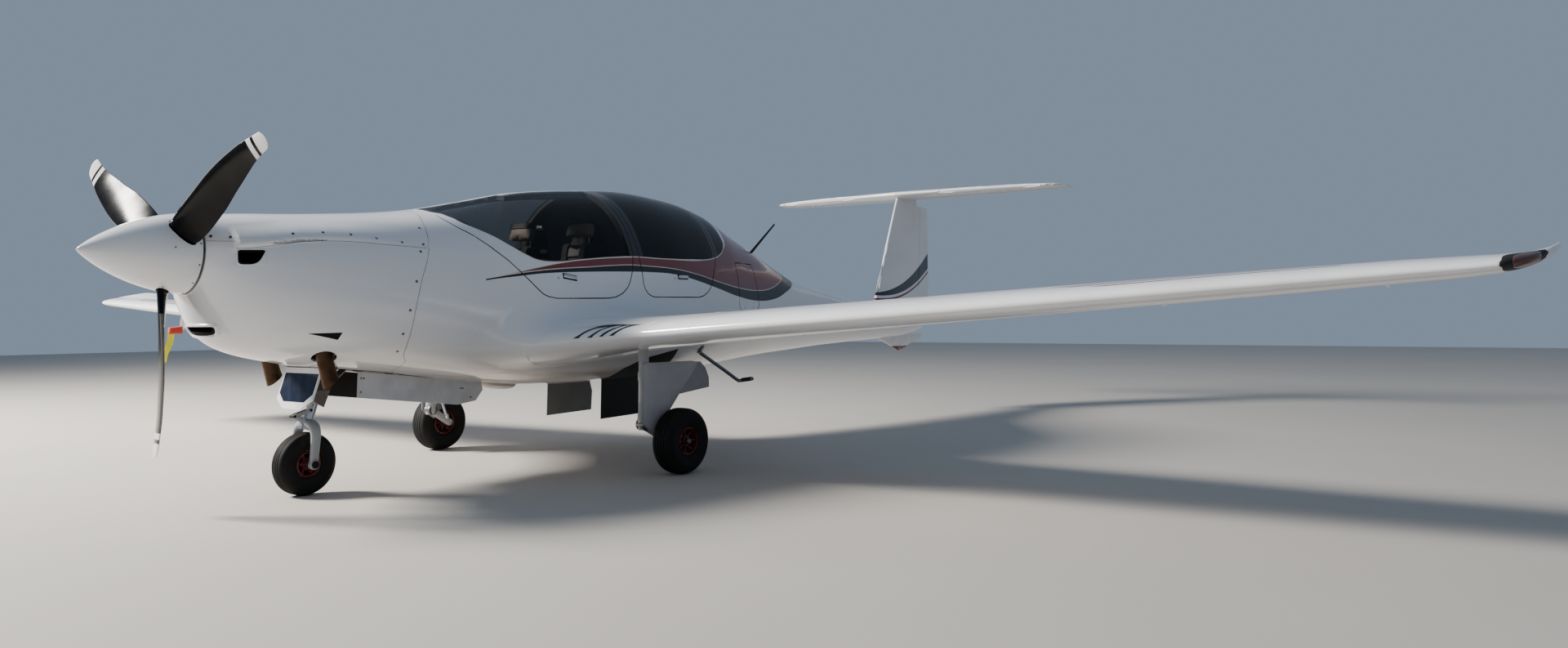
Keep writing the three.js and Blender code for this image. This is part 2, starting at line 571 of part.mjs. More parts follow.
// The space behind a control's hinge, with a round nose about it
const controlSpace = (from, to, grow) => {
  const [a, b] = [from - grow.ends, to + grow.ends];
  const [pa, pb] = [hingePoint(from), hingePoint(to)];
  const slope = (pb.y - pa.y) / (to - from);
  const rise = (pb.z - pa.z) / (to - from);
  const start = [a, pa.y - slope * grow.ends, pa.z - rise * grow.ends];
  const stop = [b, pb.y + slope * grow.ends, pb.z + rise * grow.ends];
  const nose = toSolid(rod(start, stop, noseRadius(from) + grow.nose, noseRadius(to) + grow.nose, 20));
  const behind = toSolid(planPrism([
    [a, start[1] + ORIGIN_STATION],
    [b, stop[1] + ORIGIN_STATION],
    [b, stop[1] + ORIGIN_STATION + 900],
    [a, start[1] + ORIGIN_STATION + 900],
  ], 400, 1500));
  const slab = toSolid(box(a, b, 2000, 4600, 300, 1600));
  return behind.add(nose).intersect(slab);
};
// The pin on a control's hinge line, reaching across the gap at each of its ends
const PIN_RADIUS = 5;
const hingePin = (from, to) => {
  const [a, b] = [hingePoint(from), hingePoint(to)];
  const beyond = (END_GAP - SEAT_GAP - PIN_RADIUS * 0.1) / (to - from);
  const [start, stop] = [a.clone().lerp(b, -beyond), b.clone().lerp(a, -beyond)];
  return toSolid(rod(start.toArray(), stop.toArray(), PIN_RADIUS, PIN_RADIUS, 8));
};
const NONE = { ends: 0, nose: 0 };
const CLEAR = { ends: END_GAP, nose: 7 };
const flap = wingWhole.intersect(controlSpace(FLAP.from, FLAP.to, NONE)).add(hingePin(FLAP.from, FLAP.to));
const aileron = wingWhole.intersect(controlSpace(AILERON.from, AILERON.to, NONE))
  .add(hingePin(AILERON.from, AILERON.to));
const LEG_SLOT = toSolid(box(690, 1035, 2575, 2800, 300, 742));
const LEG_CHANNEL = toSolid(rod([900, y(2700), 672], [430, y(3170), 590], 62, 62, 12));
const wing = wingWhole
  .subtract(controlSpace(FLAP.from, FLAP.to, CLEAR))
  .subtract(controlSpace(AILERON.from, AILERON.to, CLEAR))
  .subtract(LEG_SLOT)
  .subtract(LEG_CHANNEL);
HANDS.forEach(([side, hand]) => {
  addNode(`wing_${side}`, hand(wing).subtract(hullFit), WHITE);
  addNode(`flap_${side}`, hand(flap), WHITE);
  addNode(`aileron_${side}`, hand(aileron), WHITE);
});

// Fin and rudder, tailplane and elevator, and the fin under the tail
const FIN_COLUMNS = ['z', 'lead', 'trail', 'thick'];
const FIN = [
  [960, 6800, 8055, 104],
  [1060, 6950, 8055, 98],
  [1560, 7180, 8058, 82],
  [2130, 7440, 8062, 64],
].map((row) => Object.fromEntries(row.map((value, i) => [FIN_COLUMNS[i], value])));
const flatFoilRing = (at, place) => (
  airfoilRing(at.trail - at.lead, at.thick, (s, camber, h) => place(at.lead + s, h))
);
const finWhole = toSolid(loft(FIN.map((at) => flatFoilRing(at, (s, h) => new THREE.Vector3(h, y(s), at.z)))));
const finAt = (z) => rowAt(FIN, 'z', z);
const finHalf = (z, station) => {
  const at = finAt(z);
  return at.thick * halfThickness((station - at.lead) / (at.trail - at.lead));
};
const RUDDER = { low: 1105, high: 2030, lowHinge: 7800, highHinge: 7885 };
const rudderLine = (z) => RUDDER.lowHinge
  + ((z - RUDDER.low) * (RUDDER.highHinge - RUDDER.lowHinge)) / (RUDDER.high - RUDDER.low);
const rudderSpace = (ends, nose) => {
  const [low, high] = [RUDDER.low - ends, RUDDER.high + ends];
  const behind = toSolid(sidePrism(
    [[rudderLine(low), low], [rudderLine(high), high], [8400, high], [8400, low]],
    -200,
    200,
  ));
  const [lowRadius, highRadius] = [low, high].map((z) => finHalf(z, rudderLine(z)) + nose);
  const [foot, head] = [low, high].map((z) => [0, y(rudderLine(z)), z]);
  const round = toSolid(rod(foot, head, lowRadius, highRadius, 16));
  return behind.add(round).intersect(toSolid(box(-200, 200, 7000, 8400, low, high)));
};
const TAIL_Z = 2126;
const TAIL_COLUMNS = ['x', 'lead', 'trail', 'thick', 'rise'];
const TAIL_HALF = [
  [0, 7372, 8070, 78, 0],
  [400, 7396, 8058, 72, 0],
  [1490, 7560, 7990, 46, 4],
  [1580, 7620, 7978, 34, 6],
  [1622, 7740, 7966, 16, 8],
].map((row) => Object.fromEntries(row.map((value, i) => [TAIL_COLUMNS[i], value])));
const TAIL = [...TAIL_HALF.slice(1).reverse().map((at) => ({ ...at, x: -at.x })), ...TAIL_HALF];
const tailLoft = (grow) => toSolid(loft(TAIL.map((at) => flatFoilRing(
  { ...at, lead: at.lead - grow, trail: at.trail + grow, thick: at.thick + grow * 2 },
  (s, h) => new THREE.Vector3(at.x, y(s), TAIL_Z + at.rise + h),
))));
const tailWhole = tailLoft(0);
const tailHalf = (x, station) => {
  const at = rowAt(TAIL_HALF, 'x', x);
  return at.thick * halfThickness((station - at.lead) / (at.trail - at.lead));
};
const ELEVATOR = { hinge: 7815, half: 1500 };
const elevatorSpace = (ends, nose) => {
  const span = ELEVATOR.half + ends;
  const behind = toSolid(box(-span, span, ELEVATOR.hinge, 8400, 1900, 2300));
  const radius = tailHalf(0, ELEVATOR.hinge) + nose;
  const [start, stop] = [-span, span].map((x) => [x, y(ELEVATOR.hinge), TAIL_Z]);
  return behind.add(toSolid(rod(start, stop, radius, radius, 16)));
};
addNode('tailplane', tailWhole.subtract(elevatorSpace(10, 7)), WHITE);
const elevatorPin = ELEVATOR.half + 10 - SEAT_GAP;
addNode('elevator', tailWhole.intersect(elevatorSpace(0, 0)).add(toSolid(rod(
  [-elevatorPin, y(ELEVATOR.hinge), TAIL_Z],
  [elevatorPin, y(ELEVATOR.hinge), TAIL_Z],
  PIN_RADIUS,
  PIN_RADIUS,
  8,
))), WHITE);
addNode('fin', finWhole.subtract(rudderSpace(12, 7)).subtract(hullFit).subtract(tailLoft(SEAT_GAP))
  .subtract(toSolid(box(-200, 200, 7780, 8400, 2036, 2300))), WHITE);
addNode('rudder', finWhole.intersect(rudderSpace(0, 0)).add(toSolid(rod(
  [0, y(rudderLine(RUDDER.low - 12 + SEAT_GAP * 2)), RUDDER.low - 12 + SEAT_GAP * 2],
  [0, y(rudderLine(RUDDER.low + 10)), RUDDER.low + 10],
  PIN_RADIUS,
  PIN_RADIUS,
  8,
))), WHITE);

const VENTRAL = [
  [745, 6960, 7900, 46],
  [700, 7030, 7870, 40],
  [585, 7395, 7420, 12],
].map((row) => Object.fromEntries(row.map((value, i) => [FIN_COLUMNS[i], value])));
const ventralWhole = toSolid(loft(VENTRAL.map((at) => (
  flatFoilRing(at, (s, h) => new THREE.Vector3(h, y(s), at.z))
))));
addNode('ventral_fin', ventralWhole.subtract(hullFit), WHITE);

// Wheels: a tyre with a round shoulder and a dished hub, turning about X
const WHEEL_SIDES = 24;
const wheelLathe = (profile) => new THREE.LatheGeometry(
  profile.map(([r, x]) => new THREE.Vector2(r, x)),
  WHEEL_SIDES,
).rotateZ(-Math.PI / 2);
const tyreGeometry = ({ radius, width, rim }) => {
  const half = width / 2;
  const profile = [[rim, -half * 0.72], [rim + 14, -half * 0.86], [radius * 0.72, -half],
    [radius * 0.88, -half * 0.92], [radius * 0.97, -half * 0.66], [radius, -half * 0.3]];
  const points = [...profile, ...profile.slice().reverse().map(([r, x]) => [r, -x]), profile[0]];
  return wheelLathe(points);
};
const rimGeometry = ({ width, rim }, bore) => {
  const half = width / 2;
  const [r, h] = [rim - SEAT_GAP, half * 0.8];
  const profile = [[bore, -h * 0.62], [bore + 16, -h * 0.62], [r * 0.62, -h * 0.34], [r - 12, -h], [r, -h],
    [r, h], [r - 12, h], [r * 0.62, h * 0.34], [bore + 16, h * 0.62], [bore, h * 0.62], [bore, -h * 0.62]];
  return wheelLathe(profile);
};
const AXLE_RADIUS = 16;
const wheelPlaces = [
  ['nose', NOSE_WHEEL, 0],
  ['left', MAIN_WHEEL, MAIN_WHEEL.x],
  ['right', MAIN_WHEEL, -MAIN_WHEEL.x],
];
wheelPlaces.forEach(([name, wheel, x]) => {
  const place = [x, y(wheel.station), wheel.radius];
  addNode(`tyre_${name}`, tyreGeometry(wheel), RUBBER, place);
  addNode(`hub_${name}`, rimGeometry(wheel, AXLE_RADIUS + SEAT_GAP), RED, place);
});

// Nose gear: fixed housing, steered strut with its scissor link and fork, and the bay's doors
const STEER_TOP = new THREE.Vector3(0, y(1245), 690);
const STEER_LOW = new THREE.Vector3(0, y(1140), 330);
const onStrut = (share) => STEER_TOP.clone().lerp(STEER_LOW, share).toArray();
const FORK = { arm: 87, crown: 374, crownStation: 1152.8 };
const noseHousing = join(
  rod(onStrut(-0.1), onStrut(0.62), 38, 38, 16),
  rod([0, y(1252), 726], [0, y(1480), 782], 26),
  rod([0, y(1190), 500], [0, y(1480), 752], 18),
);
const strutBore = toSolid(rod(onStrut(0.3), onStrut(0.8), 26 + SEAT_GAP * 2, 26 + SEAT_GAP * 2, 16));
addNode('nose_leg', noseHousing.subtract(strutBore).intersect(noseSide(SEAT_GAP)), ALLOY);

const armTop = FORK.crown - 26;
const onNoseAxle = (x) => [x, y(NOSE_WHEEL.station), NOSE_WHEEL.radius];
const forkArm = (sign) => {
  const shoulder = [sign * FORK.arm, y(FORK.crownStation), armTop];
  return join(
    rod(shoulder, onNoseAxle(sign * FORK.arm), 24, 20),
    rod([0, y(FORK.crownStation), FORK.crown], shoulder, 28, 24),
  );
};
addNode('nose_fork', join(
  rod(onStrut(0.33), onStrut(0.98), 26, 26, 16),
  rod(onNoseAxle(-118), onNoseAxle(118), AXLE_RADIUS, AXLE_RADIUS, 16),
).add(forkArm(1)).add(forkArm(-1)).add(join(
  rod([0, y(FORK.crownStation), FORK.crown], [0, y(1070), 410], 12),
  rod([0, y(1070), 410], [0, y(1168), 436], 11),
)), ALLOY);

// Nose bay doors: the shaped plate before the leg, and a long one each side
const NOSE_PLATE = [[-165, 700], [165, 700], [165, 496], [82, 448], [-82, 448], [-165, 496]];
const PLATE_LEAN = { station: 1121, z: 650, slope: 0.31, thick: 8 };
const plateStation = (z) => PLATE_LEAN.station + (z - PLATE_LEAN.z) * PLATE_LEAN.slope;
const plateFace = (aft) => NOSE_PLATE.map(([px, pz]) => new THREE.Vector3(px, y(plateStation(pz) + aft), pz));
// Its two side edges are folded aft: the height and the distance behind the plate of each corner
const FOLD_OUTER = 165;
const PLATE_FOLD = [[499, 4], [700, 4], [700, 86], [575, 88], [458, 80], [480, 34]];
const foldOutline = PLATE_FOLD.map(([z, aft]) => [plateStation(z) + aft, z]);
const plateFolds = [FOLD_OUTER - PLATE_LEAN.thick, -FOLD_OUTER].map((x) => (
  toSolid(sidePrism(foldOutline, x, x + PLATE_LEAN.thick))
));
addNode('nose_plate_door', plateFolds.reduce((all, fold) => all.add(fold),
  toSolid(loft([plateFace(0), plateFace(PLATE_LEAN.thick)]))).subtract(hullFit), WHITE);
const LONG_DOOR = [[1352, 632], [1352, 494], [2010, 414], [2140, 430], [2190, 490], [2180, 536]];
[['left', 1], ['right', -1]].forEach(([side, sign]) => {
  const inner = sign > 0 ? 128 : -136;
  const plate = toSolid(sidePrism(LONG_DOOR, inner, inner + 8));
  addNode(`nose_bay_door_${side}`, plate.subtract(hullFit), WHITE);
});

// Main gear: leg with its trailing arm and axle, the plate on the leg, and the belly doors
const LEG = { x: 985, station: 2668, top: 742, knee: 300 };
const LEG_PLATE = [[2615, 650], [2624, 292], [2724, 227], [2940, 452], [3225, 480], [3222, 540], [3190, 600],
  [3140, 640]];
const BELLY_DOOR = [[3060, 540], [3056, 258], [3470, 270], [3478, 400], [3430, 540]];
[['left', 1], ['right', -1]].forEach(([side, sign]) => {
  const onLeg = (z, aft = 0) => [sign * LEG.x, y(LEG.station + aft), z];
  const onAxle = (x) => [sign * x, y(MAIN_WHEEL.station), MAIN_WHEEL.radius];
  const leg = join(
    rod(onLeg(LEG.top - SEAT_GAP), onLeg(LEG.knee), 30),
    rod(onLeg(LEG.knee - 50), onLeg(LEG.knee), 34),
    rod(onLeg(LEG.knee - 30), onAxle(1006), 24),
    rod(onAxle(988), onAxle(MAIN_WHEEL.x + 70), AXLE_RADIUS, AXLE_RADIUS, 16),
    rod(onLeg(LEG.knee + 190, 30), [sign * 990, y(2800), MAIN_WHEEL.radius + 30], 20),
  );
  addNode(`main_leg_${side}`, leg, ALLOY);
  const plateX = sign > 0 ? LEG.x + 34 + SEAT_GAP : -(LEG.x + 40 + SEAT_GAP);
  addNode(`leg_door_${side}`, toSolid(sidePrism(LEG_PLATE, plateX, plateX + 6)), WHITE);
  const bellyX = sign > 0 ? 250 : -256;
  addNode(`belly_door_${side}`, toSolid(sidePrism(BELLY_DOOR, bellyX, bellyX + 6)).subtract(hullFit), GREY);
});

// Cabin: two front seats, a rear bench, the instrument panel and the centre console
const seatOutline = (front, reach, height) => [
  [front, FLOOR_Z + 40], [front, FLOOR_Z + 170], [front + 60, FLOOR_Z + 200],
  [front + reach - 110, FLOOR_Z + 170],
  [front + reach + 60, FLOOR_Z + height - 60], [front + reach + 90, FLOOR_Z + height],
  [front + reach + 160, FLOOR_Z + height - 10], [front + reach + 60, FLOOR_Z + 140],
  [front + reach + 20, FLOOR_Z + 40],
];
const seatRoom = bodyLoft(between(1640, 4400), WALL + 24);
[['left', 1], ['right', -1]].forEach(([side, sign]) => {
  const x0 = sign > 0 ? 50 : -500;
  addNode(`front_seat_${side}`, toSolid(sidePrism(seatOutline(2300, 470, 720), x0, x0 + 450))
    .add(toSolid(box(x0 + 60, x0 + 390, 2340, 2720, FLOOR_Z + SEAT_GAP, FLOOR_Z + 42)))
    .intersect(seatRoom), LEATHER);
});
addNode('rear_bench', toSolid(sidePrism(seatOutline(3230, 440, 690), -480, 480))
  .add(toSolid(box(-400, 400, 3280, 3650, FLOOR_Z + SEAT_GAP, FLOOR_Z + 42)))
  .intersect(seatRoom), LEATHER);
const lining = bodyLoft(between(1640, 2600), WALL + 8);
const PANEL_BACK = CAVITY.front + SEAT_GAP;
const PANEL_OUTLINE = [[PANEL_BACK, FLOOR_Z + 440], [PANEL_BACK, 1600], [1760, 1600], [1960, 1400],
  [2010, 1290], [1985, FLOOR_Z + 330], [1850, FLOOR_Z + 400]];
addNode('instrument_panel', toSolid(sidePrism(PANEL_OUTLINE, -800, 800)).intersect(lining), BLACK);
const CONSOLE_OUTLINE = [[1990, FLOOR_Z + SEAT_GAP], [1990, FLOOR_Z + 330], [2120, FLOOR_Z + 240],
  [2700, FLOOR_Z + 230], [2720, FLOOR_Z + SEAT_GAP]];
addNode('console', toSolid(sidePrism(CONSOLE_OUTLINE, -42, 42)), BLACK);

// Small outside pieces: step behind the left wing root, aerial and the tube under the right wing
addNode('boarding_step', join(
  rod([420, y(3790), 700], [600, y(4080), 464], 14),
  rod([598, y(4077), 466], [760, y(4030), 486], 14),
).subtract(hullFit), GREY);
addNode('aerial', toSolid(rod([0, y(4940), 1360], [0, y(5342), 1692], 9, 5, 8)).subtract(hullFit), BLACK);
addNode('air_probe', join(
  rod([-3950, y(2440), 985], [-3950, y(2420), 838], 15, 12, 8),
  rod([-3950, y(2432), 838], [-3950, y(2330), 832], 11, 9, 8),
).subtract(wingWhole.mirror([1, 0, 0])), GREY);

export default aircraft;
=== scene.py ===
"""Looks of a parked single-engine light aircraft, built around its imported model.

Metres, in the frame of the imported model: the nose points towards -Y, the left wing towards +X,
and the ground is at z = 0. A station is a distance aft of the spinner's tip.
"""

import json
import math

import bpy
import numpy as np
from mathutils import Matrix, Vector


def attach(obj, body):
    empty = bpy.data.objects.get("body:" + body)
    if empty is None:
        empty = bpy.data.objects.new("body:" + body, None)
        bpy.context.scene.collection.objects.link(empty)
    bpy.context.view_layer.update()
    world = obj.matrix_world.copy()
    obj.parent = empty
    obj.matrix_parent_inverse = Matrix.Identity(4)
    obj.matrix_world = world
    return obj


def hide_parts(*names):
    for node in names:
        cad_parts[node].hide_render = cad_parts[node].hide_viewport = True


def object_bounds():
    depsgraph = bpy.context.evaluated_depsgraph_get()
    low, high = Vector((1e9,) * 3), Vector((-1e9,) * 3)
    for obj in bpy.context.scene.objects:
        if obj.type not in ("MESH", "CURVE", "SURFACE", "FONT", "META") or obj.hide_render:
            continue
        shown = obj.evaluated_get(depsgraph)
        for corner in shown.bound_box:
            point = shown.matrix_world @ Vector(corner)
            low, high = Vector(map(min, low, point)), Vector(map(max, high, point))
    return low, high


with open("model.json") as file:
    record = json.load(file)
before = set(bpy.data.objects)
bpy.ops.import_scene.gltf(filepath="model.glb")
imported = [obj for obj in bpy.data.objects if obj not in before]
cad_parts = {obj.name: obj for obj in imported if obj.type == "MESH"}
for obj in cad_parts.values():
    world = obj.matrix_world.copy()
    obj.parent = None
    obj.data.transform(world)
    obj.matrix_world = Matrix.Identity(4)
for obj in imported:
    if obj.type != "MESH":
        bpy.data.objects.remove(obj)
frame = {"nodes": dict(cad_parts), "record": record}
cad_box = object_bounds()

ORIGIN_STATION = 4.035


def at_station(station):
    return station - ORIGIN_STATION


def place(x, station, height):
    return np.array([x, at_station(station), height])


def places(*points):
    """Points given as x, station and height."""
    return np.array(points, float) - (0, ORIGIN_STATION, 0)


def in_plane(x, *points):
    """Points at one x, given as station and height."""
    return places(*((x, station, height) for station, height in points))


# Camera

CAMERA_PLACE = (5.4678, -6.2371, 0.9029)
CAMERA_YAW = 0.61848
CAMERA_PITCH = 0.09595
CAMERA_ROLL = -0.00552
FOCAL_PIXELS = 1358.14
IMAGE_WIDTH = 1920
IMAGE_HEIGHT = 793
HORIZON_ROW = 258.79


def make_camera():
    """A level-built camera: forward from yaw and pitch, then a small roll about that line."""
    forward = Vector((-math.sin(CAMERA_YAW) * math.cos(CAMERA_PITCH),
                      math.cos(CAMERA_YAW) * math.cos(CAMERA_PITCH), math.sin(CAMERA_PITCH)))
    level = Vector((math.cos(CAMERA_YAW), math.sin(CAMERA_YAW), 0.0))
    above = level.cross(forward)
    right = math.cos(CAMERA_ROLL) * level + math.sin(CAMERA_ROLL) * above
    up = -math.sin(CAMERA_ROLL) * level + math.cos(CAMERA_ROLL) * above
    data = bpy.data.cameras.new("camera")
    data.sensor_width = 36.0
    data.lens = FOCAL_PIXELS / IMAGE_WIDTH * data.sensor_width
    data.shift_y = (HORIZON_ROW - IMAGE_HEIGHT / 2) / IMAGE_WIDTH
    data.clip_end = 200.0
    camera = bpy.data.objects.new("camera", data)
    turn = Matrix((right, up, -forward)).transposed().to_4x4()
    camera.matrix_world = Matrix.Translation(CAMERA_PLACE) @ turn
    bpy.context.scene.collection.objects.link(camera)
    bpy.context.scene.camera = camera


make_camera()

# Tables of the shapes, in millimetres, with named columns

BODY = {
    "columns": ("station", "top", "bottom", "half", "wide", "upper", "lower"),
    "rows": (
        (484, 1425, 1030, 198, 1229, 2.0, 2.0),
        (530, 1428, 925, 246, 1200, 2.1, 2.0),
        (600, 1431, 815, 312, 1165, 2.2, 2.1),
        (720, 1440, 747, 380, 1125, 2.3, 2.2),
        (930, 1453, 695, 452, 1090, 2.35, 2.3),
        (1210, 1475, 650, 514, 1060, 2.4, 2.4),
        (1470, 1501, 620, 554, 1030, 2.4, 2.5),
        (1740, 1540, 585, 584, 1000, 2.3, 2.6),
        (2080, 1614, 541, 606, 970, 2.15, 2.7),
        (2480, 1703, 504, 620, 960, 2.1, 2.7),
        (2890, 1752, 494, 622, 950, 2.1, 2.7),
        (3400, 1786, 500, 600, 950, 2.1, 2.6),
        (3830, 1763, 522, 545, 960, 2.1, 2.5),
        (4200, 1694, 548, 475, 970, 2.1, 2.4),
        (4490, 1581, 572, 415, 975, 2.1, 2.3),
        (4800, 1469, 597, 355, 980, 2.1, 2.2),
        (5130, 1343, 620, 300, 975, 2.1, 2.1),
        (5480, 1224, 640, 250, 945, 2.1, 2.1),
        (5970, 1142, 668, 200, 915, 2.1, 2.1),
        (6510, 1060, 690, 155, 885, 2.1, 2.1),
        (7010, 1030, 707, 118, 872, 2.1, 2.1),
        (7450, 1020, 728, 80, 872, 2.1, 2.1),
        (7880, 1010, 800, 34, 900, 2.1, 2.1),
    ),
}
WING = {
    "columns": ("x", "lead", "trail", "z", "thick"),
    "rows": (
        (330, 1830, 3830, 735, 300),
        (620, 2010, 3760, 760, 262),
        (800, 2150, 3700, 780, 225),
        (1010, 2275, 3640, 800, 196),
        (1280, 2350, 3570, 820, 178),
        (2900, 2350, 3330, 924, 138),
        (5000, 2350, 3030, 1058, 88),
        (5250, 2356, 2990, 1074, 72),
        (5345, 2440, 2978, 1094, 52),
        (5400, 2580, 2966, 1124, 34),
        (5430, 2760, 2950, 1160, 14),
    ),
}
FIN = {
    "columns": ("z", "lead", "trail", "thick"),
    "rows": (
        (960, 6800, 8055, 104),
        (1060, 6950, 8055, 98),
        (1560, 7180, 8058, 82),
        (2130, 7440, 8062, 64),
    ),
}
LOWER_FIN = {
    "columns": ("z", "lead", "trail", "thick"),
    "rows": (
        (585, 7395, 7420, 12),
        (700, 7030, 7870, 40),
        (745, 6960, 7900, 46),
    ),
}
TAILPLANE = {
    "columns": ("x", "lead", "trail", "thick", "rise"),
    "rows": (
        (0, 7372, 8070, 78, 0),
        (400, 7396, 8058, 72, 0),
        (1490, 7560, 7990, 46, 4),
        (1580, 7620, 7978, 34, 6),
        (1622, 7740, 7966, 16, 8),
    ),
}
TAIL_HEIGHT = 2.126
WING_CAMBER = 0.0704
AXIS_HEIGHT = 1.229
SPINNER_LENGTH = 0.478
SPINNER_RADIUS = 0.195
BLADE = {
    "columns": ("share", "chord", "thick", "pitch", "sweep"),
    "rows": (
        (0.078, 84, 70, 50, 0),
        (0.16, 132, 52, 40, 2),
        (0.24, 166, 38, 31, 4),
        (0.36, 182, 28, 25, 2),
        (0.5, 186, 22, 21, -6),
        (0.66, 164, 17, 18, -16),
        (0.8, 132, 13, 16, -15),
        (0.91, 102, 10, 13, -2),
        (0.97, 92, 7, 12, 10),
        (1.0, 76, 5, 12, 18),
    ),
}
UNSCALED = ("upper", "lower", "share", "pitch")


class Table:
    """Rows of numbers read at any value of the first column, on a smooth curve that never swings
    past its rows: a cubic between two rows, its slopes the harmonic means of the chords beside them,
    or nothing where these chords turn."""

    def __init__(self, table, straight=False):
        rows = np.array(table["rows"], float)
        if table["columns"][0] not in UNSCALED:
            rows[:, 0] /= 1000
        for i, column in enumerate(table["columns"]):
            if i and column not in UNSCALED:
                rows[:, i] /= 1000
        self.columns, self.key, self.rows = table["columns"], rows[:, 0], rows[:, 1:]
        step = np.diff(self.key)[:, None]
        chord = np.diff(self.rows, axis=0) / step
        slope = np.zeros_like(self.rows)
        slope[0], slope[-1] = chord[0], chord[-1]
        before, after = chord[:-1], chord[1:]
        w0, w1 = 2 * step[1:] + step[:-1], step[1:] + 2 * step[:-1]
        same = before * after > 0
        safe = np.where(same, before, 1), np.where(same, after, 1)
        slope[1:-1] = np.where(same, (w0 + w1) / (w0 / safe[0] + w1 / safe[1]), 0)
        self.slope, self.straight = slope, straight

    def at(self, value):
        value = np.asarray(value, float)
        i = np.clip(np.searchsorted(self.key, value) - 1, 0, len(self.key) - 2)
        step = (self.key[i + 1] - self.key[i])[..., None]
        t = np.clip((value - self.key[i])[..., None] / step, 0, 1)
        a, b = self.rows[i], self.rows[i + 1]
        if self.straight:
            found = a + (b - a) * t
        else:
            h = t * t * (3 - 2 * t)
            swing = self.slope[i] * (1 - t) - self.slope[i + 1] * t
            found = a * (1 - h) + b * h + step * t * (1 - t) * swing
        return {name: found[..., k] for k, name in enumerate(self.columns[1:])}


body_table, wing_table, fin_table = Table(BODY), Table(WING), Table(FIN)
lower_fin_table, tail_table = Table(LOWER_FIN, straight=True), Table(TAILPLANE)
blade_table = Table(BLADE)


def section_half(t):
    """Half thickness of a round-nosed wing section at a share t of its chord, over its thickness."""
    return 1.4845 * np.sqrt(np.abs(t)) - 0.63 * t - 1.758 * t ** 2 + 1.4215 * t ** 3 - 0.505 * t ** 4


# Smooth surfaces, each as a function that is 0 on the surface, negative inside and positive outside

def hull_surface(inset=0.0):
    """(|x| / half)^p + (|z - wide| / rise)^p - 1, all of them following the body's table. The inset, a number
    or a function of place, is taken off half and rise."""
    def value(p):
        at = body_table.at(p[:, 1] + ORIGIN_STATION)
        over = p[:, 2] - at["wide"]
        less = inset(p) if callable(inset) else inset
        rise = np.where(over > 0, at["top"] - at["wide"], at["wide"] - at["bottom"]) - less
        half = np.maximum(at["half"] - less, 1e-3)
        power = np.where(over > 0, at["upper"], at["lower"])
        return (np.abs(p[:, 0]) / half) ** power + (np.abs(over) / rise) ** power - 1
    return value


def foil_surface(table, span, across, middle=None):
    """(height off the middle line / thickness)^2 - (half thickness of the section)^2, by span and chord."""
    def value(p):
        at = table.at(np.abs(p[:, span]))
        chord = at["trail"] - at["lead"]
        t = (p[:, 1] + ORIGIN_STATION - at["lead"]) / chord
        tail = 0.002 * np.clip((t - 0.905) / 0.07, 0, 1) / at["thick"]
        half = np.where(t > 0, (section_half(np.clip(t, 0, 1)) + tail) ** 2, 2.2037 * t)
        return ((p[:, across] - (middle(at, t, chord) if middle else 0)) / at["thick"]) ** 2 - half
    return value


def wing_middle(at, t, chord):
    """Height of the wing section's middle line at a share t of its chord."""
    return at["z"] + WING_CAMBER * chord * t * (1 - t)


def wing_point(span, share, side):
    """The wing's skin at a span and a share of its chord, side being 1 above and -1 below."""
    at = wing_table.at(np.abs(span))
    chord = at["trail"] - at["lead"]
    z = wing_middle(at, share, chord) + side * section_half(share) * at["thick"]
    return np.stack(np.broadcast_arrays(span, at_station(at["lead"] + chord * share), z), -1)


wing_surface = foil_surface(wing_table, 0, 2, wing_middle)
tail_surface = foil_surface(tail_table, 0, 2, lambda at, t, chord: TAIL_HEIGHT + at["rise"])
fin_surface = foil_surface(fin_table, 2, 0)
lower_fin_surface = foil_surface(lower_fin_table, 2, 0)


SLOPE_STEP = 2e-4


def slope_of(surface, p):
    """The surface function's value and its slope, from small steps each way."""
    slope = np.empty_like(p)
    for k in range(3):
        move = np.zeros(3)
        move[k] = SLOPE_STEP
        slope[:, k] = (surface(p + move) - surface(p - move)) / (2 * SLOPE_STEP)
    return surface(p), slope


def unit(v):
    return v / np.maximum(np.linalg.norm(v, axis=-1, keepdims=True), 1e-12)


# Meshes

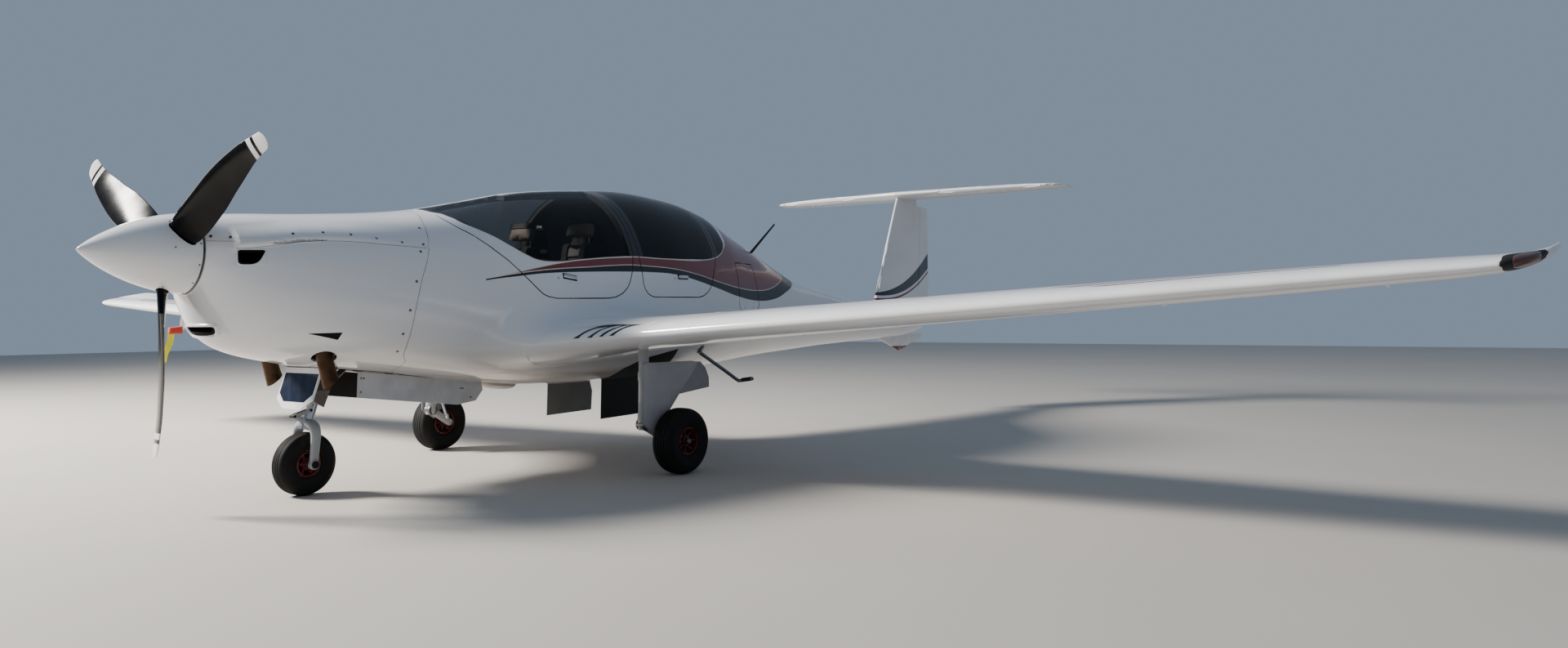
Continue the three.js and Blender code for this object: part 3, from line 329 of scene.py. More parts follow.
def cut_down(points, faces, reach):
    """Halves every triangle edge longer than reach(middle), longest first, until none is left."""
    for _ in range(26):
        ends = np.concatenate([faces[:, [0, 1]], faces[:, [1, 2]], faces[:, [2, 0]]])
        ends.sort(axis=1)
        count = len(points)
        edge, which = np.unique(ends[:, 0].astype(np.int64) * count + ends[:, 1], return_inverse=True)
        a, b = edge // count, edge % count
        middle = (points[a] + points[b]) / 2
        over = np.linalg.norm(points[a] - points[b], axis=1) / reach(middle)
        which = which.reshape(3, -1).T
        share = over[which]
        long = share.max(axis=1) > 1
        if not long.any():
            break
        marked = np.zeros(len(edge), bool)
        marked[which[long, share[long].argmax(axis=1)]] = True
        number = np.full(len(edge), -1)
        number[marked] = count + np.arange(marked.sum())
        points = np.vstack([points, middle[marked]])
        halves = number[which]
        split = (halves >= 0).sum(axis=1)
        new = [faces[split == 0]]
        for kind in (1, 2, 3):
            f, m = faces[split == kind], halves[split == kind]
            if not len(f):
                continue
            first = np.zeros(len(f), int)
            if kind == 1:
                first = (m >= 0).argmax(axis=1)
            if kind == 2:
                first = ((m < 0).argmax(axis=1) + 1) % 3
            turn = (first[:, None] + np.arange(3)) % 3
            f, m = np.take_along_axis(f, turn, 1), np.take_along_axis(m, turn, 1)
            a, b, c, ab, bc, ca = f[:, 0], f[:, 1], f[:, 2], m[:, 0], m[:, 1], m[:, 2]
            corners = {
                1: ((a, ab, c), (ab, b, c)),
                2: ((ab, b, bc), (a, ab, bc), (a, bc, c)),
                3: ((a, ab, ca), (ab, b, bc), (ca, bc, c), (ab, bc, ca)),
            }[kind]
            new += [np.stack(corner, axis=1) for corner in corners]
        faces = np.concatenate(new)
    return points, faces


def add_object(name, mesh):
    piece = bpy.data.objects.new(name, mesh)
    bpy.context.scene.collection.objects.link(piece)
    return piece


def make_mesh(name, points, faces, kinds=None):
    """A mesh from whole arrays: faces is one array, or several with their own number of corners, and kinds
    gives each face its material's number."""
    groups = [np.asarray(group) for group in (faces if isinstance(faces, list) else [faces])]
    corners = np.concatenate([group.ravel() for group in groups])
    sides = np.concatenate([np.full(len(group), group.shape[1]) for group in groups])
    mesh = bpy.data.meshes.new(name)
    mesh.vertices.add(len(points))
    mesh.vertices.foreach_set("co", np.asarray(points, np.float32).ravel())
    mesh.loops.add(len(corners))
    mesh.loops.foreach_set("vertex_index", corners.astype(np.int32))
    mesh.polygons.add(len(sides))
    mesh.polygons.foreach_set("loop_start", (np.cumsum(sides) - sides).astype(np.int32))
    if kinds is not None:
        mesh.polygons.foreach_set("material_index", np.asarray(kinds, np.int32))
    mesh.update(calc_edges=True)
    mesh.polygons.foreach_set("use_smooth", np.ones(len(mesh.polygons), bool))
    return mesh


def node_triangles(node):
    """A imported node's triangles on shared points: its mesh is loose triangles, so equal places are joined."""
    mesh = frame["nodes"][node].data
    mesh.calc_loop_triangles()
    points = np.empty(len(mesh.vertices) * 3, np.float32)
    mesh.vertices.foreach_get("co", points)
    faces = np.empty(len(mesh.loop_triangles) * 3, np.int32)
    mesh.loop_triangles.foreach_get("vertices", faces)
    points = points.reshape(-1, 3).astype(float)
    _, first, which = np.unique(np.round(points * 2e4), axis=0, return_index=True, return_inverse=True)
    faces = which.ravel()[faces].reshape(-1, 3)
    flat = (faces[:, 0] == faces[:, 1]) | (faces[:, 1] == faces[:, 2]) | (faces[:, 2] == faces[:, 0])
    return points[first], faces[~flat]


def smooth_copy(node, skins, reach, materials, inside=None):
    """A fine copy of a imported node. Each face that lies along one of the smooth surfaces is drawn on to it
    and shaded by the surface's own slope; the other faces keep their place, with sharp corners.

    skins holds (surface, side, tolerance, material number), side being -1 for a skin that faces inwards.
    inside holds (surface, depth, material number) for the faces that lie deeper under the surface.
    """
    points, faces = cut_down(*node_triangles(node), reach)
    corners = points[faces]
    middle = corners.mean(axis=1)
    normal = unit(np.cross(corners[:, 1] - corners[:, 0], corners[:, 2] - corners[:, 0]))
    kinds = np.zeros(len(faces), int)
    if inside:
        value, slope = slope_of(inside[0], middle)
        kinds[value < -inside[1] * np.linalg.norm(slope, axis=1)] = inside[2]
    given = np.zeros((len(faces), 3, 3))
    for surface, side, tolerance, kind in skins:
        value, slope = slope_of(surface, middle)
        size = np.linalg.norm(slope, axis=1)
        along = (normal * slope).sum(axis=1) / np.maximum(size, 1e-9) * side
        on = (np.abs(value) < tolerance * size) & (along > 0.78)
        use = np.unique(faces[on])
        moved = points[use]
        for _ in range(4):
            value, slope = slope_of(surface, moved)
            moved = moved - slope * (value / np.maximum((slope ** 2).sum(axis=1), 1e-9))[:, None]
        near = np.linalg.norm(moved - points[use], axis=1) < tolerance * 1.5
        points[use[near]] = moved[near]
        direction = np.zeros_like(points)
        direction[use] = unit(slope_of(surface, points[use])[1]) * side
        given[on] = direction[faces[on]]
        kinds[on] = kind
    mesh = make_mesh(node + "_skin", points, faces, kinds)
    mesh.set_sharp_from_angle(angle=math.radians(32))
    mesh.normals_split_custom_set(given.reshape(-1, 3).tolist())
    stand_in(mesh, materials, node)


def stand_in(mesh, materials, node):
    """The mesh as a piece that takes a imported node's place."""
    for material in materials:
        mesh.materials.append(material)
    piece = add_object(mesh.name, mesh)
    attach(piece, body_of_node[node])
    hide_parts(node)
    return piece


record = frame["record"]
body_of_node = {node: body for body, nodes in record["behaviour"]["bodies"].items() for node in nodes}
slot_of_node = {part["node"]: part["material_slot"] for part in record["subparts"]}


def grid_faces(rows, columns, wrap=False):
    """Quads over a grid of points, closed across its columns where wrap is set."""
    r, c = np.meshgrid(np.arange(rows - 1), np.arange(columns if wrap else columns - 1), indexing="ij")
    n = (c + 1) % columns
    a, b = r * columns + c, r * columns + n
    return np.stack([a, b, b + columns, a + columns], -1).reshape(-1, 4)


NO_FANS = np.zeros((0, 3), int)


def solid(points, quads, fans):
    """A closed shape with its faces turned outwards: the sum of its corner volumes is positive."""
    sides = np.concatenate([fans, quads[:, [0, 1, 2]], quads[:, [0, 2, 3]]])
    a, b, c = points[sides].transpose(1, 0, 2)
    middle = points.mean(axis=0)
    if (np.cross(a - middle, b - middle) * (c - middle)).sum() < 0:
        quads, fans = quads[:, ::-1], fans[:, ::-1]
    return points, quads, fans


def grid_solid(grid):
    """A closed shape over a grid of points: rows of rings, with a small fan on the first and last ring."""
    rows, columns = grid.shape[:2]
    a = np.arange(columns)
    b, last = (a + 1) % columns, (rows - 1) * columns
    start, stop = np.full(columns, rows * columns), np.full(columns, rows * columns + 1)
    fans = np.concatenate([np.stack([start, b, a], 1), np.stack([stop, a + last, b + last], 1)])
    points = np.vstack([grid.reshape(-1, 3), grid[0].mean(axis=0), grid[-1].mean(axis=0)])
    return solid(points, grid_faces(rows, columns, True), fans)


def ring_solid(grid):
    """A closed shape over a grid that is closed both ways, like a tyre."""
    rows, columns = grid.shape[:2]
    points = np.concatenate([grid, grid[:1]]).reshape(-1, 3)
    quads = grid_faces(rows + 1, columns, True) % (rows * columns)
    return solid(points[:rows * columns], quads, NO_FANS)


def mirrored(shape):
    points, quads, fans, *kind = shape
    return points * (-1, 1, 1), quads[:, ::-1], fans[:, ::-1], *kind


def both_sides(shapes):
    return [*shapes, *(mirrored(shape) for shape in shapes)]


def of_kind(kind, *shapes):
    """Shapes that take the material of that number."""
    return [(*shape, kind) for shape in shapes]


def add_piece(name, shapes, materials, nodes=(), slot=None, sharp=35, body="airframe"):
    """One piece from a list of shapes, each with its material's number where that is not 0."""
    shapes = [shape if len(shape) == 4 else (*shape, 0) for shape in shapes]
    starts = np.cumsum([0] + [len(shape[0]) for shape in shapes])
    points = np.concatenate([shape[0] for shape in shapes])
    quads = np.concatenate([shape[1] + start for shape, start in zip(shapes, starts)])
    fans = np.concatenate([shape[2] + start for shape, start in zip(shapes, starts)])
    kinds = np.concatenate([np.full(len(shape[1]), shape[3]) for shape in shapes]
                           + [np.full(len(shape[2]), shape[3]) for shape in shapes])
    mesh = make_mesh(name, points, [quads, fans] if len(fans) else quads, kinds)
    if sharp:
        mesh.set_sharp_from_angle(angle=math.radians(sharp))
    for material in materials:
        mesh.materials.append(material)
    piece = add_object(name, mesh)
    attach(piece, body)
    for node in nodes:
        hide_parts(node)
    slot = slot or (slot_of_node[nodes[0]] if nodes else None)
    return piece


# Curves and rings

def spline(points, count):
    """A smooth path through the points: (1+2u)(1-u)^2 a + u(1-u)^2 a' + u^2(3-2u) b + u^2(u-1) b'."""
    points = np.asarray(points, float)
    slope = np.gradient(points, axis=0)
    t = np.linspace(0, len(points) - 1, count)
    i = np.minimum(t.astype(int), len(points) - 2)
    u = (t - i)[:, None]
    return ((1 + 2 * u) * (1 - u) ** 2 * points[i] + u * (1 - u) ** 2 * slope[i]
            + u * u * (3 - 2 * u) * points[i + 1] + u * u * (u - 1) * slope[i + 1])


def ring_angles(sides):
    return np.linspace(0, 2 * math.pi, sides, endpoint=False)


def superellipse(sides, square):
    """Points (cos a, sin a), each drawn out to |x|^square + |y|^square = 1."""
    a = ring_angles(sides)
    c, s = np.cos(a), np.sin(a)
    return np.stack([np.sign(c) * np.abs(c) ** (2 / square), np.sign(s) * np.abs(s) ** (2 / square)], 1)


def frames(path, across):
    """At each point of a path: the way nearest to across at right angles to the path, and the third way."""
    along = unit(np.gradient(np.asarray(path, float), axis=0))
    across = np.broadcast_to(np.asarray(across, float), along.shape)
    u = unit(across - along * (along * across).sum(axis=1, keepdims=True))
    return u, np.cross(along, u)


def tube(path, wide, deep=None, across=(1, 0, 0), sides=20, square=2.0):
    """Rings about a path: path + wide x u + deep y v, (x, y) on a superellipse."""
    path = np.asarray(path, float)
    deep = wide if deep is None else deep
    u, v = frames(path, across)
    ring = superellipse(sides, square)
    wide, deep = [np.broadcast_to(value, len(path))[:, None, None] for value in (wide, deep)]
    return path[:, None] + wide * ring[:, 0, None] * u[:, None] + deep * ring[:, 1, None] * v[:, None]


def bar(points, wide, deep=None, across=(1, 0, 0), sides=20, square=2.0, count=16, edge=0.35):
    """A closed bar along a smooth path. At e (1 - cos a) from an end its half width is less by e (1 - sin a),
    e being the edge's share of the half width there."""
    path = spline(points, count)
    span = np.linspace(0, 1, count)
    wide, deep = [np.interp(span, np.linspace(0, 1, np.size(value)), np.atleast_1d(value))
                  for value in (wide, wide if deep is None else deep)]
    turn = np.linspace(0, math.pi / 2, 5)[:-1]
    parts = []
    for end, inwards in ((0, path[1] - path[0]), (-1, path[-2] - path[-1])):
        e = edge * min(wide[end], deep[end])
        less = e * (1 - np.sin(turn))
        rows = path[end] + unit(inwards) * (e * (1 - np.cos(turn)))[:, None]
        parts.append((rows, wide[end] - less, deep[end] - less))
    (first, w0, d0), (last, w1, d1) = parts
    rows = np.concatenate([first, path[1:-1], last[::-1]])
    wide = np.concatenate([w0, wide[1:-1], w1[::-1]])
    deep = np.concatenate([d0, deep[1:-1], d1[::-1]])
    return grid_solid(tube(rows, wide, deep, across, sides, square))


def lathe(profile, centre, axis=(1, 0, 0), sides=48, closed=False):
    """Rings of radius r at a distance along an axis; a closed profile gives a ring like a tyre."""
    profile, axis = np.asarray(profile, float), unit(np.asarray(axis, float))
    u = unit(np.cross(axis, (0.31, 0.52, 0.79)))
    v, a = np.cross(axis, u), ring_angles(sides)
    ring = np.cos(a)[:, None] * u + np.sin(a)[:, None] * v
    grid = np.asarray(centre) + profile[:, None, 1:] * axis + profile[:, None, :1] * ring
    return ring_solid(grid) if closed else grid_solid(grid)


def slab(top, bottom):
    """A closed shape between two grids of points that lie over each other."""
    rows, columns = top.shape[:2]
    index = np.arange(rows * columns).reshape(rows, columns)
    rim = np.concatenate([index[0, :-1], index[:-1, -1], index[-1, :0:-1], index[:0:-1, 0]])
    after, low = np.roll(rim, -1), rows * columns
    quads = np.concatenate([grid_faces(rows, columns), grid_faces(rows, columns)[:, ::-1] + low,
                            np.stack([after, rim, rim + low, after + low], 1)])
    return solid(np.concatenate([top.reshape(-1, 3), bottom.reshape(-1, 3)]), quads, NO_FANS)


CORNER_STEPS, EDGE_STEPS = 5, 6


def rounded(outline, radius):
    """An outline with each corner c drawn as the curve (1-t)^2 p + 2t(1-t) c + t^2 q, between the points p
    and q of its edges at a radius from the corner, and its edges cut into equal steps."""
    corners = np.asarray(outline, float)
    before, after = np.roll(corners, 1, axis=0) - corners, np.roll(corners, -1, axis=0) - corners
    shorter = np.minimum(np.linalg.norm(before, axis=1), np.linalg.norm(after, axis=1))
    reach = np.minimum(radius, 0.45 * shorter)
    p, q = corners + unit(before) * reach[:, None], corners + unit(after) * reach[:, None]
    t = np.linspace(0, 1, CORNER_STEPS)[None, :, None]
    turn = (1 - t) ** 2 * p[:, None] + 2 * t * (1 - t) * corners[:, None] + t ** 2 * q[:, None]
    run = np.linspace(0, 1, EDGE_STEPS)[None, 1:-1, None]
    edge = q[:, None] * (1 - run) + np.roll(p, -1, axis=0)[:, None] * run
    return np.concatenate([turn, edge], axis=1).reshape(-1, corners.shape[1])


def plate(outline, place, u, v, thick, radius=0.012, edge=0.0015):
    """A flat plate with rounded corners and edges: place + a u + b v, thick along u x v."""
    ring = rounded(outline, radius)
    middle = ring.mean(axis=0)
    u, v = np.asarray(u, float), np.asarray(v, float)
    out = unit(np.cross(u, v))
    away = ring - middle
    inner = middle + away * (1 - edge / np.linalg.norm(away, axis=1, keepdims=True))
    rows = [(middle + away * 0.5, 0), (inner, 0), (ring, edge), (ring, thick - edge), (inner, thick),
            (middle + away * 0.5, thick)]
    grid = np.stack([np.asarray(place) + r[:, :1] * u + r[:, 1:] * v + h * out for r, h in rows])
    return grid_solid(grid)


# Materials

class Socket:
    """A value in a material: arithmetic on it adds Math nodes."""

    def __init__(self, finish, link):
        self.finish, self.link = finish, link

    def math(self, operation, *others, **settings):
        return self.finish.node("ShaderNodeMath", {"operation": operation, **settings},
                                dict(enumerate((self,) + others)))

    def __add__(self, other):
        return self.math("ADD", other)

    def __mul__(self, other):
        return self.math("MULTIPLY", other)

    def __sub__(self, other):
        return self.math("SUBTRACT", other)

    def __rsub__(self, other):
        return self.finish.node("ShaderNodeMath", {"operation": "SUBTRACT"}, {0: other, 1: self})

    __radd__, __rmul__ = __add__, __mul__

    def above(self, edge, soft=0.001):
        """0 below the edge and 1 above it, with a straight ramp of width soft."""
        return ((self - edge) * (1 / soft)).math("ADD", 0.5, use_clamp=True)

    def within(self, low, high, soft=0.001):
        return self.above(low, soft) * (1 - self.above(high, soft))

    def size(self):
        return self.math("ABSOLUTE")


class Finish:
    """One material: its nodes and the shader that they feed."""

    def __init__(self, name, color, roughness, **constants):
        self.material = bpy.data.materials.new(name)
        self.material.use_nodes = True
        self.tree = self.material.node_tree
        self.shader = self.tree.nodes["Principled BSDF"]
        self.shader.inputs["Base Color"].default_value = (*color, 1)
        self.shader.inputs["Roughness"].default_value = roughness
        for key, value in constants.items():
            self.shader.inputs[key.replace("_", " ").title().replace("Ior", "IOR")].default_value = value
        self.material.diffuse_color = (*color, 1)

    def node(self, kind, settings=None, sockets=None, out=0):
        made = self.tree.nodes.new(kind)
        for key, value in (settings or {}).items():
            if key == "stops":
                ramp = made.color_ramp.elements
                while len(ramp) < len(value):
                    ramp.new(0.5)
                for stop, (place, color) in zip(ramp, value):
                    stop.position, stop.color = place, (*color, 1)
            elif key == "curve":
                points = made.mapping.curves[0].points
                while len(points) < len(value):
                    points.new(0.5, 0.5)
                for point, (across, up) in zip(points, value):
                    point.location = (across, up)
                made.mapping.update()
            else:
                setattr(made, key, value)
        for key, value in (sockets or {}).items():
            if isinstance(value, Socket):
                self.tree.links.new(made.inputs[key], value.link)
            else:
                made.inputs[key].default_value = value
        return Socket(self, made.outputs[out])

    def feed(self, **values):
        for key, value in values.items():
            self.tree.links.new(self.shader.inputs[key.replace("_", " ").title()], value.link)
        return self

    def place(self):
        """The piece's own x, y and z in metres."""
        where = self.node("ShaderNodeTexCoord", out="Object")
        return [self.node("ShaderNodeSeparateXYZ", {}, {0: where}, out=k) for k in range(3)]

    def noise(self, scale, detail=2.0, stretch=(1, 1, 1)):
        where = self.node("ShaderNodeTexCoord", out="Object")
        turned = self.node("ShaderNodeMapping", {}, {"Vector": where, "Scale": stretch})
        return self.node("ShaderNodeTexNoise", {}, {"Vector": turned, "Scale": scale, "Detail": detail})

    def mix(self, mask, a, b):
        """Colour a where the mask is 0 and b where it is 1."""
        a, b = [value if isinstance(value, Socket) else (*value, 1) for value in (a, b)]
        return self.node("ShaderNodeMix", {"data_type": "RGBA"}, {0: mask, 6: a, 7: b}, out=2)

    def curve(self, value, points, across, up):
        """A smooth curve through the points, read at value; across and up are its two ranges."""
        share = (value - across[0]) * (1 / (across[1] - across[0]))
        steps = [((p - across[0]) / (across[1] - across[0]), (q - up[0]) / (up[1] - up[0]))
                 for p, q in points]
        found = self.node("ShaderNodeFloatCurve", {"curve": steps}, {"Factor": 1.0, "Value": share})
        return found * (up[1] - up[0]) + up[0]

    def bump(self, height, distance, strength=1.0):
        normal = self.node("ShaderNodeBump", {},
                           {"Height": height, "Distance": distance, "Strength": strength})
        return self.feed(Normal=normal)

    def peel(self):
        """The fine orange peel of sprayed paint."""
        return self.bump(self.noise(520.0), 0.00004)


def dim(color, share):
    return tuple(c * share for c in color)


WHITE_PAINT = (0.79, 0.80, 0.82)
CRIMSON = (0.16, 0.012, 0.018)
BAND_BLACK = (0.012, 0.013, 0.016)
CREAM = (0.72, 0.66, 0.55)
STAIN = (0.52, 0.49, 0.45)
GLOSS = {"coat_weight": 0.5, "coat_roughness": 0.05}

# The side stripes: station and height of each edge, along the left side
STRIPE_TOP = ((1.80, 1.118), (1.892, 1.139), (2.06, 1.175), (2.26, 1.216), (2.44, 1.247), (2.611, 1.269),
              (2.789, 1.285), (2.975, 1.297), (3.164, 1.305), (3.523, 1.301), (3.814, 1.314), (4.005, 1.348),
              (4.143, 1.408), (4.218, 1.459), (4.26, 1.60), (4.34, 1.9), (5.4, 1.9))
STRIPE_LOW = ((1.80, 1.124), (1.892, 1.139), (2.058, 1.165), (2.254, 1.19), (2.429, 1.206), (2.597, 1.218),
              (2.792, 1.234), (2.997, 1.245), (3.144, 1.243), (3.409, 1.235), (3.694, 1.205), (3.962, 1.163),
              (4.272, 1.126), (4.512, 1.113), (4.768, 1.125), (4.985, 1.175), (5.138, 1.235), (5.2, 1.31),
              (5.4, 1.6))
BAND_LOW = ((1.80, 1.112), (1.829, 1.119), (2.055, 1.149), (2.251, 1.171), (2.591, 1.19), (2.948, 1.202),
            (3.134, 1.205), (3.399, 1.2), (3.608, 1.174), (3.952, 1.115), (4.261, 1.063), (4.569, 1.037),
            (4.857, 1.052), (5.101, 1.112), (5.3, 1.18), (5.4, 1.24))
GLASS_LOW = ((1.70, 1.517), (1.71, 1.512), (1.775, 1.493), (1.805, 1.452), (1.861, 1.422), (1.953, 1.379),
             (2.07, 1.313), (2.151, 1.272), (2.223, 1.247), (2.343, 1.242), (2.565, 1.264), (2.802, 1.287),
             (3.002, 1.30), (3.327, 1.30), (3.643, 1.308), (3.903, 1.324), (4.067, 1.364), (4.167, 1.426),
             (4.205, 1.474), (4.212, 1.54), (4.215, 1.9))
COWL_SPLIT = ((0.55, 1.250), (0.60, 1.250), (0.70, 1.262), (0.85, 1.290), (1.00, 1.300), (1.15, 1.300),
              (1.30, 1.292), (1.55, 1.284))
COWL_SEAM = ((0.50, 1.500), (0.66, 1.490), (0.74, 1.425), (0.88, 1.405), (1.08, 1.430), (1.26, 1.500),
             (1.424, 1.565), (1.524, 1.628), (1.60, 1.630))


# Crimson streaks on the wing's upper skin: slope, chord distance at the start, and the spans of both ends
STREAKS = ((0.030, 0.030, 2.35, 4.75), (0.045, 0.055, 2.60, 4.85), (0.060, 0.085, 2.95, 4.90))

# Four black strokes round the front edge of the wing's root: span and height along each
ROOT_STROKES = (
    ((0.84, 0.76), (0.892, 0.797), (0.903, 0.809), (0.915, 0.825), (0.944, 0.851), (0.967, 0.860),
     (1.058, 0.870), (1.121, 0.8725)),
    ((0.91, 0.76), (0.957, 0.800), (0.972, 0.816), (0.984, 0.832), (1.014, 0.857), (1.042, 0.866),
     (1.085, 0.870), (1.121, 0.8725)),
    ((0.97, 0.76), (1.018, 0.806), (1.033, 0.823), (1.051, 0.839), (1.071, 0.852), (1.094, 0.863),
     (1.128, 0.870), (1.160, 0.8730)),
    ((1.03, 0.76), (1.077, 0.811), (1.093, 0.827), (1.110, 0.844), (1.128, 0.857), (1.157, 0.867),
     (1.192, 0.872), (1.220, 0.8745)),
)


def body_paint(name):
    """Gloss white with its crimson stripe, black band and cream lines, black window frames and seams, and
    painted shade low on the body: warmer and darker towards the bottom, in brown streaks."""
    paint = Finish(name, WHITE_PAINT, 0.16, coat_weight=0.5, coat_roughness=0.04, specular_ior_level=0.5)
    x, y, z = paint.place()
    s = y + ORIGIN_STATION
    reach, heights = (1.70, 5.4), (0.9, 2.0)
    top = paint.curve(s, STRIPE_TOP, reach, heights)
    low = paint.curve(s, STRIPE_LOW, reach, heights)
    band = paint.curve(s, BAND_LOW, reach, heights)
    pane = paint.curve(s, GLASS_LOW, reach, heights)
    there = s.within(1.83, 5.36)
    red = z.within(low + 0.004, top - 0.004) * there
    cream = z.within(low - 0.001, top + 0.001) * there
    black = z.within(band, low - 0.001) * there
    frames = z.above(pane + 0.002) * s.within(1.72, 4.216) * x.size().above(0.093)
    cream_edge = z.within(pane - 0.004, pane + 0.002) * s.within(2.1, 4.2)
    grime = paint.noise(2.3, 3.0, (1, 0.35, 1.6))
    speck = paint.noise(46.0)
    # Painted shade: the body turns warmer and darker towards its bottom, and brown streaks darken it further
    # low down.
    belly = 1 - z.above(0.70, 0.32)
    shade_streak_noise = paint.noise(5.0, 4.0, (2.5, 0.22, 2.5))
    painted_shade_streaks = (1 - z.above(0.66, 0.16)) * s.within(1.1, 4.8, 0.5) * shade_streak_noise.above(0.40, 0.35)
    # Painted shade mixed in: the warm darkening towards the bottom, then the brown streaks.
    color = paint.mix(belly * 0.30, WHITE_PAINT, (0.56, 0.52, 0.47))
    color = paint.mix(painted_shade_streaks * 0.55, color, (0.27, 0.19, 0.12))
    color = paint.mix(grime.above(0.52, 0.4) * 0.16 + speck.above(0.62, 0.12) * 0.03, color,
                      (0.60, 0.61, 0.63))
    color = paint.mix(cream, color, CREAM)
    color = paint.mix(red, color, CRIMSON)
    color = paint.mix(black, color, BAND_BLACK)
    color = paint.mix(frames, color, BAND_BLACK)
    color = paint.mix(cream_edge, color, CREAM)
    seam = (s - paint.curve(z, COWL_SEAM, (0.5, 1.6), (1.3, 1.7))).size()
    line = 1 - seam.above(0.0016, 0.001)
    split = (z - paint.curve(s, COWL_SPLIT, (0.55, 1.55), (1.2, 1.35))).size()
    line = line + (1 - split.above(0.0013, 0.0008)) * s.within(0.578, 1.497, 0.001)
    line = line + (1 - (z - 1.283).size().above(0.0013, 0.0008)) * s.within(0.485, 0.578, 0.001)
    color = paint.mix(line.math("MINIMUM", 1.0) * 0.85, color, (0.03, 0.03, 0.035))
    dark = (black + frames).math("MINIMUM", 1.0)
    paint.feed(base_color=color, roughness=grime * 0.10 + speck * 0.04 + 0.10, coat_weight=0.5 - dark * 0.5)
    return paint.peel().material


def wing_paint():
    """Gloss white with the four strokes at the root, fine crimson streaks over the outer upper skin, and
    stains that run back from the front edge."""
    paint = Finish("gloss_white_wing", WHITE_PAINT, 0.16, **GLOSS)
    x, y, z = paint.place()
    span = x.size()
    grime = paint.noise(3.1, 3.0, (1.4, 0.5, 1.4))
    speck = paint.noise(60.0)
    color = paint.mix(grime.above(0.55, 0.35) * 0.2 + speck.above(0.62, 0.1) * 0.05, WHITE_PAINT, STAIN)
    for stroke in ROOT_STROKES:
        ends = stroke[1][0], stroke[-1][0]
        reach = ends[0] - 0.06, ends[1] + 0.02
        off = (z - paint.curve(span, stroke, reach, (0.74, 0.90))).size()
        wide = (ends[1] - span) * (0.0125 / (ends[1] - ends[0]))
        mark = (1 - (off - wide).above(0.0, 0.0014)) * z.above(stroke[1][1], 0.002)
        color = paint.mix(mark * span.within(ends[0] - 0.02, ends[1]), color, BAND_BLACK)
    chord = (y + ORIGIN_STATION) - 2.35
    for slope, start, from_span, to_span in STREAKS:
        off = (chord - (span - from_span) * slope - start).size()
        mark = (1 - off.above(0.007, 0.002)) * span.within(from_span, to_span, 0.004) * z.above(1.03, 0.004)
        color = paint.mix(mark, color, CRIMSON)
    paint.feed(base_color=color, roughness=grime * 0.12 + 0.10)
    return paint.peel().material


def plain_paint(name, color=WHITE_PAINT, roughness=0.16, dirt=0.2, dirt_color=STAIN, gloss=0.5):
    """Gloss paint with slow stains and a fine orange peel."""
    paint = Finish(name, color, roughness, coat_weight=gloss, coat_roughness=0.05,
                   specular_ior_level=0.15 + 0.7 * gloss)
    grime = paint.noise(3.1, 3.0, (1.4, 0.5, 1.4))
    speck = paint.noise(60.0)
    shade = paint.mix(grime.above(0.55, 0.35) * dirt + speck.above(0.62, 0.1) * 0.05, color, dirt_color)
    paint.feed(base_color=shade, roughness=grime * 0.12 + (roughness - 0.06))
    return paint.peel().material


def tinted_glass(name, cover):
    """Dark acrylic: a thin dark film of colour that light passes, with faint smears in its gloss."""
    glass = Finish(name, (0.002, 0.0025, 0.003), 0.03, alpha=cover, specular_ior_level=0.25)
    smear = glass.noise(9.0, 3.0, (1, 1, 2.2))
    glass.feed(roughness=smear * 0.05 + 0.01)
    return glass.material


def metal(name, color, roughness, grain=240.0, stretch=(1, 1, 6), dirt=0.25, metallic=1.0):
    """Metal with a fine directional grain, stains, and roughness that follows both."""
    made = Finish(name, color, roughness, metallic=metallic)
    fine = made.noise(grain, 3.0, stretch)
    stain = made.noise(14.0, 3.0)
    shade = made.mix(stain.above(0.56, 0.25) * dirt, color, dim(color, 0.45))
    made.feed(base_color=shade, roughness=fine * 0.16 + stain * 0.1 + (roughness - 0.12))
    return made.bump(fine, 0.00012, 0.5).material


def rubber():
    """Black tyre rubber: dusty and grey in patches, with a fine pebble."""
    made = Finish("tyre_black", (0.012, 0.012, 0.012), 0.8, specular_ior_level=0.25)
    dust = made.noise(18.0, 4.0)
    pebble = made.noise(420.0)
    shade = made.mix(dust.above(0.52, 0.3) * 0.4, (0.0035, 0.0035, 0.0035), (0.016, 0.015, 0.013))
    made.feed(base_color=shade, roughness=dust * 0.2 + 0.62)
    return made.bump(pebble, 0.0004, 0.6).material


def cabin_lining():
    """Dark grey felt on the cabin's inside: a soft mottle and a short nap."""
    made = Finish("cabin_lining", (0.05, 0.048, 0.046), 0.95, sheen_weight=0.25)
    nap = made.noise(700.0, 3.0)
    mottle = made.noise(8.0)
    made.feed(base_color=made.mix(mottle, (0.036, 0.034, 0.033), (0.075, 0.071, 0.067)),
              roughness=nap * 0.15 + 0.8)
    return made.bump(nap, 0.0006, 0.6).material


def leather(name, color):
    """Seat leather: pebbled grain, creases and a dull worn sheen."""
    made = Finish(name, color, 0.5, specular_ior_level=0.3)
    grain = made.node("ShaderNodeTexVoronoi", {"feature": "DISTANCE_TO_EDGE"}, {
        "Vector": made.node("ShaderNodeTexCoord", out="Object"), "Scale": 260.0})
    wear = made.noise(7.0, 3.0)
    made.feed(base_color=made.mix(wear.above(0.5, 0.3) * 0.5, color, dim(color, 0.62)),
              roughness=wear * 0.22 + 0.34)
    return made.bump(grain, 0.0006, 0.5).material


